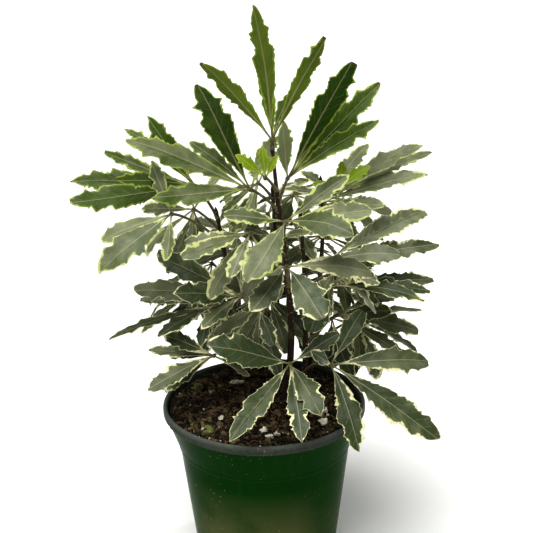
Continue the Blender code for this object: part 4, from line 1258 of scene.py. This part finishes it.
class Blade:
    """A fine leaflet on a solid's leaflet, with its own seeded teeth, waves, fold and twist."""

    def __init__(self, leaflet, settings, rng, over, edge):
        self.leaflet = leaflet
        self.over = over
        self.tone = rng.random()
        self.grey_and_sheen = rng.uniform(-LEAFLET_SPREAD, LEAFLET_SPREAD)
        self.fold = settings.fold * rng.uniform(0.5, 1.7)
        self.arch = rng.uniform(0.008, 0.03)
        self.droop = rng.uniform(-0.1, 0.45)
        self.wave = settings.wave * 1000 * rng.uniform(0.5, 1.3)
        self.wave_length = settings.wave_length * 1000 * rng.uniform(0.8, 1.3)
        self.phases = (rng.uniform(0, TURN), rng.uniform(0, TURN))
        self.twist = math.radians(rng.uniform(-12, 12))
        self.bend = rng.uniform(-0.022, 0.022) * leaflet.length
        self.kink = rng.uniform(0, TURN)
        self.thick = settings.half_thickness * 1000
        step = STEP_FRONT if leaflet.edge is EDGE else STEP_HIDDEN
        self.stations = int(leaflet.length / step) + 8
        self.edges = [edge_pairs(tooth, edge) for tooth in leaflet.teeth]
        self.saws = [self.saw(settings, rng) for _ in range(2)]

    def saw(self, settings, rng):
        """The small teeth of one side, all pointing forward, with a stronger one now and
        then, as the place of each point along the leaflet and its height, in millimetres."""
        length = self.leaflet.length
        scale = min(1.0, self.leaflet.width / 13)
        strong = rng.choice((rng.uniform(0.4, 0.56), rng.uniform(0.8, 0.9), 2.0)) * length
        teeth = []
        place = length * rng.uniform(0.16, 0.24)
        while place < length * 0.97:
            after = place + settings.tooth_spacing * 1000 * rng.uniform(0.35, 1.75)
            strength = smoothstep(0.12, 0.5, place / length) * (0.25 + 1.2 * rng.random() ** 2)
            if place <= strong < after:
                strength = rng.uniform(1.6, 2.2)
            strength *= 1 - smoothstep(0.86, 0.98, place / length)
            teeth.append((place, settings.tooth_height * 1000 * strength * scale))
            place = after
        return teeth

    def half(self, side, share):
        """Half of the width on one side at a share of the length."""
        pairs = self.edges[side]
        width = pairs[-1][1]
        for (s0, w0), (s1, w1) in zip(pairs, pairs[1:]):
            if share <= s1:
                k = (share - s0) / (s1 - s0)
                width = (w0 + (w1 - w0) * k) * self.leaflet.width / 2
                break
        run = share * self.leaflet.length
        before = 0.0
        for place, height in self.saws[side]:
            if run <= place:
                width += height * (((run - before) / (place - before)) ** 1.7 - 0.45)
                break
            before = place
        floor = ROOT_HALF_WIDTH if share < 0.5 else 0.06
        return max(width, floor)

    def ring(self, i, ease):
        """The points round one station: the upper side from left to right, then the underside
        back. Each with its place across, its run and its share along."""
        leaf = self.leaflet
        share = (i / self.stations) ** 1.04
        sweep = 0.075 * math.sin(math.pi * share)
        flat = smoothstep(0.07, 0.22, share)
        rib = (0.5 * (1 - share) + 0.1) * flat
        thick = STEM_HALF_THICK + (self.thick - STEM_HALF_THICK) * flat
        upper = 0.0 if self.over else 1.0
        points = []
        for side, sign in ((0, -1), (1, 1)):
            edge = min(share + sweep, 1.0)
            half = self.half(side, edge)
            for f in COLUMNS:
                where = share + (edge - share) * f**1.3
                at = self.point(where, sign * f * half, half, side, ease)
                points.append((sign * f, at, where, half))
        middle = (0.0, self.point(share, 0.0, 0.5, 0, ease), share, 0.5)
        row = points[: len(COLUMNS)][::-1] + [middle] + points[len(COLUMNS) :]
        top, bottom = [], []
        for f, (place, normal), where, half in row:
            near = {0.0: 1.0, COLUMNS[0]: 0.4}.get(abs(f), 0.0)
            edge = 0.0 if abs(f) == 1.0 else 1.0
            depth = thick * edge if flat else thick * math.sqrt(max(1 - f * f, 0.0))
            data = (f * half, share * leaf.length, where)
            above, below = depth - 0.05 * near * flat, depth + rib * near
            if self.over:
                above, below = below, above
            top.append((place + normal * above, data, upper if edge else 0.5))
            if edge:
                bottom.append((place - normal * below, data, 1 - upper))
        return top + bottom[::-1]

    def point(self, share, across, half, side, ease):
        """A point of the middle surface and its normal."""
        leaf = self.leaflet
        place, top = leaf.at(share)
        turn = self.twist * share * share * ease
        across_way = leaf.side * math.cos(turn) + top * math.sin(turn)
        normal = top * math.cos(turn) - leaf.side * math.sin(turn)
        grow = smoothstep(0.1, 0.34, share) * ease * (-1 if self.over else 1)
        size = abs(across)
        rise = (size - 0.42 * half) * math.tan(self.fold)
        rise -= self.arch * (size * size - 0.2 * half * half)
        run = share * leaf.length
        swing = math.sin(2 * math.pi * run / self.wave_length + self.phases[side])
        small = 0.3 * math.sin(2 * math.pi * run / 6.1 + 2 * self.phases[side])
        rise += self.wave * (swing + small) * (size / (leaf.width / 2)) ** 1.6
        rise -= self.droop * max(share - 0.55, 0.0) ** 2 * leaf.length / grow if grow else 0.0
        shift = self.bend * math.sin(math.pi * share)
        shift += 0.3 * math.sin(5.2 * share + self.kink) * share
        place = place + across_way * (across + shift * ease)
        return place + normal * (rise * grow), normal

    def mesh(self, ease=1.0, first=0):
        """Vertices, faces and the attributes of each vertex."""
        verts, data = [], []
        count = 4 * len(COLUMNS)
        for i in range(first, self.stations + 1):
            for place, where, upper in self.ring(i, ease):
                verts.append(place)
                data.append((*where, upper))
        rings = self.stations + 1 - first
        faces = [(a, d, c, b) for a, b, c, d in bands(rings, count)]
        faces.append(tuple(range(count)))
        faces.append(tuple(range((rings - 1) * count, rings * count))[::-1])
        return verts, faces, data


def edge_distance(blade, data):
    """How far each point of a blade is from its outline, in millimetres."""
    length = blade.leaflet.length
    outline = []
    for side, sign in ((0, -1), (1, 1)):
        rim = []
        for i in range(blade.stations * 2 + 1):
            share = i / (blade.stations * 2)
            rim.append((share * length, sign * blade.half(side, share)))
        outline += rim if side else rim[::-1]
    outline = np.array(outline)
    start, along = outline[:-1], np.diff(outline, axis=0)
    points = np.array([(where * length, across) for across, run, where, upper in data])
    gap = points[:, None, :] - start[None]
    share = (gap * along).sum(-1) / np.maximum((along**2).sum(-1), 1e-9)
    near = gap - along * np.clip(share, 0, 1)[..., None]
    return np.sqrt((near**2).sum(-1)).min(1)


def knot(hub, rng):
    """The small lumpy knot at a leaf's hub."""
    shape = bmesh.new()
    bmesh.ops.create_icosphere(shape, subdivisions=2, radius=HUB_RADIUS)
    offset = Vector((rng.uniform(0, 50), rng.uniform(0, 50), 0))
    for vert in shape.verts:
        vert.co *= 1 + 0.22 * noise.noise(vert.co * 0.9 + offset)
        vert.co += hub
    return take_apart(shape)


def settle(room, mates, owner, blade):
    """The fullest form of a blade, in waves, fold and twist, that is clear of its neighbours."""
    for ease in (1.0, 0.75, 0.5, 0.25, 0.0):
        verts, faces, data = blade.mesh(ease)
        outer = blade.mesh(ease, int(blade.stations * min(0.5, 8.0 / blade.leaflet.length)))[:2]
        if room.clear(verts, faces, owner) and mates.clear(*outer, owner):
            break
    mates.add(*outer, None)
    return verts, faces, data


def crowded_room():
    """The room that the whole frame takes up."""
    room = bare_room(2.0)
    for name, stem, hub, path, leaflets in PLANT:
        room.add(*stalk_tube(path, 0.3), stem)
        for leaflet in leaflets:
            room.add(*leaflet.slab(), name)
    return room


def older_leaflets(room, name, hub, leaflets, rng):
    """More leaflets for a leaf that others hide, which the solids leave out: they hang from the
    hub wherever there is room."""
    mates = Room()
    for leaflet in leaflets:
        mates.add(*leaflet.beyond_root(leaflet.length), None)
    found = []
    for _ in range(min(HANGING, FULL_LEAF - len(leaflets))):
        chord = Vector((rng.uniform(-0.7, 0.7), rng.uniform(-0.6, 0.2), -1)).normalized()
        up = Vector((rng.uniform(-0.3, 0.3), -1, 0.3)).normalized()
        length = rng.uniform(30, 42)
        sag = math.radians(rng.uniform(5, 20))
        teeth = (rng.uniform(0.6, 0.72), rng.uniform(0.64, 0.76))
        wanted = (chord, up, length, length * rng.uniform(0.27, 0.36))
        leaflet = fit_leaflet(room, mates, name, hub, wanted, sag, teeth, PLAIN_EDGE)
        if leaflet:
            room.add(*leaflet.slab(), name)
            found.append(leaflet)
    return found


def dress_leaf(name, hub, leaflets, settings, surface, room):
    """One leaf: its fine blades and its knot in one mesh that stands for the leaf's node."""
    rng = random.Random(f"{name} blades")
    values = {key: [] for key in ("across", "run", "share", "upper", "edge", "tone", "grey_and_sheen")}
    all_verts, all_faces = [], []
    mates = Room()
    edge = NOTCHED_EDGE if hub.z > NOTCHED_FROM else FINE_EDGE
    for row, leaflet in enumerate(leaflets):
        blade = Blade(leaflet, settings, rng, (name, row) in TURNED_OVER, edge)
        verts, faces, data = settle(room, mates, name, blade)
        room.add(verts, faces, name)
        append(all_verts, all_faces, verts, faces)
        for key, column in zip(("across", "run", "share", "upper"), zip(*data)):
            values[key] += column
        values["edge"] += list(edge_distance(blade, data))
        values["tone"] += [blade.tone] * len(data)
        # Painted sheen and shade: greyer with the hub's height and by the table, and one half of each
        # leaflet painted lighter than the other.
        grey_and_sheen = LEAST_SHEEN + MORE_SHEEN * smoothstep(AGE_AND_SHEEN_FROM, AGE_AND_SHEEN_TO, hub.z) + blade.grey_and_sheen
        grey_and_sheen += PAINTED_SHEEN_AND_SHADE.get(f"{name} {row}", PAINTED_SHEEN_AND_SHADE.get(name, 0.0))
        values["grey_and_sheen"] += [grey_and_sheen + math.copysign(HALF_PAINTED_LIGHT, point[0]) for point in data]
    verts, faces = knot(hub, rng)
    append(all_verts, all_faces, verts, faces)
    plain = {"across": 3.0, "run": 0.0, "share": 0.0, "upper": 0.0, "edge": 5.0, "tone": 0.3,
             "grey_and_sheen": 0.5}
    for key, value in plain.items():
        values[key] += [value] * len(verts)
    fresh = smoothstep(FRESH_FROM, FRESH_TO, hub.z) * (FRESH_SPIRAL if on_spiral(name) else 1.0)
    values["fresh"] = [fresh] * len(all_verts)
    values["young"] = [smoothstep(YOUNG_FROM, YOUNG_TO, hub.z)] * len(all_verts)
    piece = new_piece(f"{name}_blades", all_verts, all_faces, [surface], values)
    piece.data.set_sharp_from_angle(angle=math.radians(SHARP_LEAF))
    return piece


# Stems.


def smooth_path(points, steps):
    """A Catmull-Rom curve through points."""
    ends = [points[0] * 2 - points[1]] + points + [points[-1] * 2 - points[-2]]
    path = []
    for p0, p1, p2, p3 in zip(ends, ends[1:], ends[2:], ends[3:]):
        for i in range(steps):
            t = i / steps
            path.append(
                (p1 * 2 + (p2 - p0) * t + (p0 * 2 - p1 * 5 + p2 * 4 - p3) * t * t
                 + (p1 * 3 - p0 - p2 * 3 + p3) * t**3) * 0.5)
    return path + [points[-1]]


def fine_stem(name, joints, swell):
    """A stem with a swelling at each joint, a flared foot and a bud on top."""
    points, low, high = STEMS[name]
    path = smooth_path([Vector(p) for p in points], 12)
    foot, top = points[0][2], points[-1][2]
    radii = []
    for point in path:
        radius = low + (high - low) * (point.z - foot) / (top - foot)
        for z in joints:
            radius += swell * math.exp(-(((point.z - z) / 1.6) ** 2))
        radius += 0.5 * math.exp(-(((point.z - SOIL_TOP) / 3.0) ** 2))
        radius += 0.14 * noise.noise(point * 0.35)
        radii.append(radius)
    last = path[-1]
    up = (path[-1] - path[-2]).normalized()
    for step, share in BUD:
        path.append(last + up * step)
        radii.append(high * share)
    return tube(path, radii, 16)


def fine_stalk(path, hub):
    """A leaf stalk with a sheath at its foot and a slight swelling below the hub."""
    fine = stalk_path(path[0], hub, 18, HUB_RADIUS * 0.6)
    radii = []
    for i in range(len(fine)):
        t = i / (len(fine) - 1)
        radius = STALK_RADIUS * (1.12 - 0.3 * t)
        radius += 0.55 * math.exp(-(((fine[i] - fine[0]).length / 2.6) ** 2))
        radius += 0.25 * math.exp(-(((fine[i] - fine[-1]).length / 1.6) ** 2))
        radii.append(radius)
    return tube(fine, radii, 10)


def dress_stem(name, settings, bark, skin):
    """One stem with the stalks of its leaves, in one mesh that stands for the stem's node."""
    mine = [leaf for leaf in PLANT if leaf[1] == name]
    joints = [leaf[3][0].z for leaf in mine]
    verts, faces = fine_stem(name, joints, settings.node_swell * 1000)
    bark_faces = len(faces)
    for leaf in mine:
        append(verts, faces, *fine_stalk(leaf[3], leaf[2]))
    piece = new_piece(f"{name}_wood", verts, faces, [bark, skin])
    for face in piece.data.polygons[bark_faces:]:
        face.material_index = 1
    piece.data.set_sharp_from_angle(angle=math.radians(SHARP_STEM))
    return piece


# Pot.


def rounded(rows, radius, steps=4):
    """A profile with each corner rounded by about a radius."""
    out = [rows[0]]
    for before, corner, after in zip(rows, rows[1:], rows[2:]):
        here = Vector(corner)
        to, off = Vector(before) - here, Vector(after) - here
        near = min(radius, to.length * 0.45, off.length * 0.45)
        start, end = here + to.normalized() * near, here + off.normalized() * near
        for i in range(steps + 1):
            t = i / steps
            out.append(tuple(start * (1 - t) ** 2 + here * (2 * t * (1 - t)) + end * t * t))
    out.append(rows[-1])
    return out


def fine_pot_rows():
    """The outer and inner walls with rounded corners, and more rings on the long walls."""
    outer, inner = pot_profile()
    rows = rounded(outer + inner + [(0.5, FLOOR)], 0.55)
    out = [(0.5, 0.0)]
    for row in rows:
        gap = Vector(row) - Vector(out[-1])
        steps = int(gap.length // 6)
        for i in range(1, steps + 1):
            out.append(tuple(Vector(out[-1]) + gap / (steps + 1)))
        out.append(row)
    return out


def lip_marks(verts):
    """Presses the two mould marks into the lip and gives the wall its slight unevenness."""
    for vert in verts:
        bearing = math.atan2(vert.y, vert.x)
        radius = math.hypot(vert.x, vert.y)
        if radius < 30:
            continue
        shift = 0.12 * math.sin(3 * bearing + 0.7) + 0.08 * math.sin(5 * bearing + vert.z * 0.03)
        if vert.z > POT_HEIGHT - LIP_HEIGHT:
            for mark in LIP_MARKS:
                off = (bearing - math.radians(mark) + math.pi) % (2 * math.pi) - math.pi
                shift -= 0.5 * math.exp(-((off * RIM_RADIUS / 0.8) ** 2))
                shift += 0.3 * math.exp(-(((off * RIM_RADIUS - 1.8) / 0.7) ** 2))
        vert.x *= 1 + shift / radius
        vert.y *= 1 + shift / radius


def cut_drains(pot):
    """Cuts the drain holes through the pot's floor."""
    for k in range(DRAIN_COUNT):
        a = 2 * math.pi * (k + 0.5) / DRAIN_COUNT
        shape = bmesh.new()
        size = DRAIN_RADIUS / 1000
        bmesh.ops.create_cone(
            shape, cap_ends=True, segments=36, radius1=size, radius2=size, depth=FLOOR * 0.003)
        mesh = bpy.data.meshes.new("drain_cutter")
        shape.to_mesh(mesh)
        shape.free()
        cutter = bpy.data.objects.new("drain_cutter", mesh)
        x, y = DRAIN_CIRCLE * math.cos(a), DRAIN_CIRCLE * math.sin(a)
        cutter.location = (x / 1000, y / 1000, FLOOR / 2000)
        bpy.context.scene.collection.objects.link(cutter)
        hole = pot.modifiers.new("drain", "BOOLEAN")
        hole.operation = "DIFFERENCE"
        hole.solver = "EXACT"
        hole.object = cutter
        bpy.context.view_layer.objects.active = pot
        bpy.ops.object.modifier_apply(modifier=hole.name)
        bpy.data.objects.remove(cutter)
        bpy.data.meshes.remove(mesh)


# Soil.


def soil_height(x, y):
    """The soil's uneven top in the solids: two slow waves and a small one."""
    slow = math.sin(x * 0.11 + 0.6) * math.cos(y * 0.09 - 0.3)
    small = math.sin(x * 0.41 + y * 0.23) * math.cos(y * 0.37 - x * 0.13)
    return SOIL_TOP + 0.55 * slow + 0.4 * small


def crumbly_height(x, y):
    """The soil's top with its crumbs."""
    spot = Vector((x, y, 0))
    lumps = noise.fractal(spot * 0.22, 0.7, 2.1, 5)
    ridges = 1 - 2 * abs(noise.noise(spot * 0.6 + Vector((9, 4, 2))))
    return soil_height(x, y) + 1.1 * lumps + 0.6 * ridges


def soil_mesh():
    """The soil as it fills the pot, under a finely broken top."""
    ring = POT_HEIGHT - RING_DROP
    inner_low = BASE_RADIUS - WALL - 0.3
    rows = [(inner_low, FLOOR + GAP), (RING_RADIUS - WALL - 0.5, ring),
            (SOIL_RADIUS, SOIL_TOP - 2.2)]
    verts, faces = lathe(rows, SOIL_SIDES, True, False)
    for i in range(SOIL_RINGS):
        radius = (SOIL_RADIUS - 0.3) * (1 - i / SOIL_RINGS)
        for k in range(SOIL_SIDES):
            a = 2 * math.pi * k / SOIL_SIDES
            x, y = radius * math.cos(a), radius * math.sin(a)
            verts.append(Vector((x, y, crumbly_height(x, y))))
    last = len(rows) - 1
    faces += bands(last + SOIL_RINGS + 1, SOIL_SIDES, last)
    verts.append(Vector((0, 0, crumbly_height(0, 0))))
    start = (last + SOIL_RINGS) * SOIL_SIDES
    for k in range(SOIL_SIDES):
        faces.append((start + k, start + (k + 1) % SOIL_SIDES, len(verts) - 1))
    return verts, faces


def on_soil(rng, reach=LOOSE_REACH):
    """A place on the soil, drawn evenly over its top."""
    radius = reach * math.sqrt(rng.random())
    a = rng.uniform(0, 2 * math.pi)
    return radius * math.cos(a), radius * math.sin(a)


def loose_size(rng, smallest, more):
    """The size of a loose bit: small ones are far more common than large ones."""
    return smallest + more * rng.random() ** 3


def crumb(x, y, size, rng, level, rough, sink):
    """A broken crumb that lies on the soil, sunk into it by a share of its size."""
    shape = bmesh.new()
    bmesh.ops.create_icosphere(shape, subdivisions=level, radius=size / 2)
    stretch = Vector((rng.uniform(0.75, 1.3), rng.uniform(0.75, 1.2), rng.uniform(0.55, 0.9)))
    turn = Matrix.Rotation(rng.uniform(0, TURN), 3, "Z")
    turn = turn @ Matrix.Rotation(rng.uniform(-0.5, 0.5), 3, "X")
    offset = Vector((rng.uniform(0, 90), rng.uniform(0, 90), rng.uniform(0, 90)))
    place = Vector((x, y, crumbly_height(x, y) + size * (0.5 - sink) * stretch.z))
    for vert in shape.verts:
        grow = 1 + rough * noise.noise(vert.co * (2.4 / size) + offset)
        grow += rough * 0.5 * noise.noise(vert.co * (6.0 / size) + offset)
        co = vert.co * grow
        vert.co = turn @ Vector((co.x * stretch.x, co.y * stretch.y, co.z * stretch.z)) + place
    return take_apart(shape)


def fibre(x, y, rng):
    """A bent fibre of peat that lies on the soil, or None where the pot leaves no room."""
    a = rng.uniform(0, TURN)
    length = rng.uniform(2.0, 7.5)
    curl = rng.uniform(-0.35, 0.35)
    points = []
    spot = Vector((x, y, 0))
    for i in range(6):
        height = crumbly_height(spot.x, spot.y) + 0.8 + 0.6 * math.sin(i * 0.63)
        points.append(Vector((spot.x, spot.y, height)))
        spot += Vector((math.cos(a), math.sin(a), 0)) * length / 5
        a += curl
        if spot.length > LOOSE_REACH + 0.5:
            break
    if len(points) < 3:
        return None
    size = rng.uniform(0.1, 0.26)
    return tube(points, [size * (1 - 0.6 * i / len(points)) for i in range(len(points))], 4)


def gathered(name, parts, surface, rng):
    """Many loose bits in one mesh, each with its own tone."""
    verts, faces, tones = [], [], []
    for part in parts:
        append(verts, faces, *part)
        tones += [rng.random()] * len(part[0])
    return new_piece(name, verts, faces, [surface], {"tone": tones})


# Operators.


class ARALIA_OT_pot(bpy.types.Operator):
    """Make the moulded pot with its rolled lip, ring line and drain holes"""

    bl_idname = "aralia.pot"
    bl_label = "Pot"

    def execute(self, context):
        settings = context.scene.aralia_pot
        verts, faces = lathe(fine_pot_rows(), settings.sides, True, True)
        lip_marks(verts)
        pot = new_piece("pot_moulded", verts, faces, [pot_material(settings)])
        cut_drains(pot)
        pot.data.set_sharp_from_angle(angle=math.radians(SHARP_POT))
        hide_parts("pot")
        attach(pot, "root")
        return {"FINISHED"}


class ARALIA_OT_soil(bpy.types.Operator):
    """Make the potting mix with its crumbs, fibres, perlite and green crumbs"""

    bl_idname = "aralia.soil"
    bl_label = "Soil"

    def execute(self, context):
        settings = context.scene.aralia_soil
        rng = random.Random(SOIL_SEED)
        peat = peat_material(settings, "milled_peat")
        verts, faces = soil_mesh()
        bed = new_piece("soil_bed", verts, faces, [peat], {"tone": [0.35] * len(verts)})
        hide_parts("soil")
        crumbs = []
        for _ in range(settings.crumbs):
            size = loose_size(rng, *CRUMB_SIZES)
            place = on_soil(rng, LOOSE_REACH + 0.2 - size / 2)
            crumbs.append(crumb(*place, size, rng, 2 if size > 1.5 else 1, 0.7, 0.3))
        loose = gathered("soil_crumbs", crumbs, peat, rng)
        threads = [fibre(*on_soil(rng), rng) for _ in range(settings.fibres)]
        threads = [thread for thread in threads if thread]
        straw = grain_material("peat_fibre", linear("#8a6c48"), linear("#3a2a17"), 900.0)
        strands = gathered("soil_fibres", threads, straw, rng)
        white = grain_material("expanded_perlite", settings.perlite, linear("#b3ae9a"), 1400.0)
        green = grain_material("algae_crumb", settings.moss, linear("#3d3a1c"), 1100.0)
        grains, lumps = [], []
        for kind, x, y, size in SOIL_BITS:
            bits = grains if kind == "perlite" else lumps
            bits.append(crumb(x, y, size, rng, 3, 0.95, 0.15))
        for _ in range(settings.grains):
            size = loose_size(rng, *GRAIN_SIZES)
            grains.append(crumb(*on_soil(rng), size, rng, 2, 0.8, 0.1))
        for _ in range(settings.lumps):
            lumps.append(crumb(*on_soil(rng, 50), rng.uniform(1.0, 2.6), rng, 2, 0.6, 0.2))
        bits = gathered("soil_perlite", grains, white, rng)
        moss = gathered("soil_green_crumbs", lumps, green, rng)
        for piece in (bed, loose, strands, bits, moss):
            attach(piece, "root")
        return {"FINISHED"}


class ARALIA_OT_stems(bpy.types.Operator):
    """Make the five woody stems with the stalks of their leaves"""

    bl_idname = "aralia.stems"
    bl_label = "Stems"

    def execute(self, context):
        settings = context.scene.aralia_stems
        bark, skin = bark_material(settings), stalk_material(settings)
        for name in STEMS:
            piece = dress_stem(name, settings, bark, skin)
            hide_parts(name)
            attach(piece, "root")
        return {"FINISHED"}


class ARALIA_OT_leaves(bpy.types.Operator):
    """Make every leaf and young shoot, with teeth, folds, waves and a cream margin"""

    bl_idname = "aralia.leaves"
    bl_label = "Leaves and shoots"

    def execute(self, context):
        settings = context.scene.aralia_leaves
        young = context.scene.aralia_shoots
        grown = leaf_cuticle(settings, "leaf_cuticle", {
            "green": settings.green,
            "sheen_patch": settings.sheen_grey_green,
            "under": settings.under,
            "edge": settings.cream,
            "rib": settings.midrib,
            "fresh": settings.fresh_green,
            "fresh_edge": settings.fresh_edge,
            "glow": linear("#6d8a22"),
        })
        lime = {key: young.lime for key in ("green", "sheen_patch", "under", "fresh")}
        pale = {key: young.edge for key in ("edge", "rib", "fresh_edge")}
        tints = {**lime, **pale, "glow": linear("#a8c030")}
        tender = leaf_cuticle(settings, "young_leaf_cuticle", tints)
        rng = random.Random(HANGING_SEED)
        crowd = crowded_room()
        room = Room()
        for stem in STEMS:
            room.add(*stem_tube(stem), stem)
        for name, stem, hub, path, leaflets in PLANT:
            room.add(*stalk_tube(path), name)
        for name, stem, hub, path, leaflets in PLANT:
            shoot = name.startswith("shoot")
            hidden = on_spiral(name) or name in HIDDEN
            more = older_leaflets(crowd, name, hub, leaflets, rng) if hidden else []
            surface = tender if shoot else grown
            piece = dress_leaf(name, hub, leaflets + more, settings, surface, room)
            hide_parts(name)
            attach(piece, "root")
        return {"FINISHED"}


class ARALIA_OT_stage(bpy.types.Operator):
    """Make the pale floor, the soft studio light and the camera"""

    bl_idname = "aralia.stage"
    bl_label = "Studio"

    def execute(self, context):
        settings = context.scene.aralia_stage
        surface, tree, shader = blank_material("matt_studio_paper")
        join(tree, shader, {"Base Color": rgba(settings.floor), "Roughness": 0.9})
        sides = 96
        verts, faces = lathe([(0.5, -FLOOR_DROP), (FLOOR_RADIUS, -FLOOR_DROP)], sides, False, False)
        faces.append(tuple(range(sides)))
        faces = [face[::-1] for face in faces]
        floor = new_piece("studio_floor", verts, faces, [surface], smooth=False)
        context.scene.view_settings.view_transform = "Standard"
        context.scene.view_settings.gamma = settings.gamma
        self.lights(context, settings)
        self.camera(context, settings)
        return {"FINISHED"}

    def lights(self, context, settings):
        """An even white surround, a wide soft key from the upper left and a strip at the right."""
        world = bpy.data.worlds.new("studio")
        world.use_nodes = True
        white = {"Color": (1.0, 1.0, 1.0, 1.0), "Strength": settings.surround}
        join(world.node_tree, world.node_tree.nodes["Background"], white)
        context.scene.world = world
        key = bpy.data.lights.new("key", "SUN")
        key.energy = settings.key_energy
        key.angle = settings.key_angle
        strip = bpy.data.lights.new("strip", "AREA")
        strip.shape = "RECTANGLE"
        strip.size, strip.size_y = STRIP_WIDTH, STRIP_HEIGHT
        strip.energy = settings.strip_power
        for data, place, aim in ((key, KEY_PLACE, KEY_AIM), (strip, STRIP_PLACE, STRIP_AIM)):
            lamp = bpy.data.objects.new(data.name, data)
            lamp.location = place
            lamp.rotation_mode = "QUATERNION"
            lamp.rotation_quaternion = (Vector(place) - Vector(aim)).to_track_quat("Z", "Y")
            context.scene.collection.objects.link(lamp)

    def camera(self, context, settings):
        """The camera at the photo's place and angle."""
        data = bpy.data.cameras.new("photo_view")
        data.sensor_width = 36.0
        data.lens = settings.lens
        data.clip_start, data.clip_end = 0.01, 200.0
        camera = bpy.data.objects.new("photo_view", data)
        pitch, roll = settings.pitch, settings.roll
        ahead = Vector((0, math.cos(pitch), -math.sin(pitch)))
        up = Vector((0, math.sin(pitch), math.cos(pitch)))
        right = Vector((1, 0, 0))
        turned_right = right * math.cos(roll) + up * math.sin(roll)
        turned_up = up * math.cos(roll) - right * math.sin(roll)
        axes = Matrix((turned_right, turned_up, -ahead)).transposed()
        camera.rotation_mode = "QUATERNION"
        camera.rotation_quaternion = axes.to_quaternion()
        camera.location = settings.place
        context.scene.collection.objects.link(camera)
        context.scene.camera = camera


class ARALIA_PT_panel(bpy.types.Panel):
    """The sidebar's list of what can be made"""

    bl_idname = "ARALIA_PT_panel"
    bl_label = "Potted aralia"
    bl_space_type = "VIEW_3D"
    bl_region_type = "UI"
    bl_category = "Aralia"

    def draw(self, context):
        for operator, groups in PARTS.items():
            box = self.layout.box()
            box.operator(operator.bl_idname)
            for group in groups:
                settings = getattr(context.scene, group)
                for key in GROUPS[group].__annotations__:
                    box.prop(settings, key)


PARTS = {
    ARALIA_OT_pot: ("aralia_pot",),
    ARALIA_OT_soil: ("aralia_soil",),
    ARALIA_OT_stems: ("aralia_stems",),
    ARALIA_OT_leaves: ("aralia_leaves", "aralia_shoots"),
    ARALIA_OT_stage: ("aralia_stage",),
}
GROUPS = {
    "aralia_pot": AraliaPotSettings,
    "aralia_soil": AraliaSoilSettings,
    "aralia_stems": AraliaStemSettings,
    "aralia_leaves": AraliaLeafSettings,
    "aralia_shoots": AraliaShootSettings,
    "aralia_stage": AraliaStageSettings,
}
CLASSES = (*GROUPS.values(), *PARTS, ARALIA_PT_panel)


def register():
    """Registers the classes and hangs the settings on the scene."""
    for cls in CLASSES:
        bpy.utils.register_class(cls)
    for name, group in GROUPS.items():
        setattr(bpy.types.Scene, name, PointerProperty(type=group))


def unregister():
    """Takes the settings and the classes away again."""
    for name in GROUPS:
        delattr(bpy.types.Scene, name)
    for cls in reversed(CLASSES):
        bpy.utils.unregister_class(cls)


def main():
    """Makes every piece in order."""
    register()
    bpy.ops.aralia.pot()
    bpy.ops.aralia.soil()
    bpy.ops.aralia.stems()
    bpy.ops.aralia.leaves()
    bpy.ops.aralia.stage()


if __name__ == "__main__":
    main()
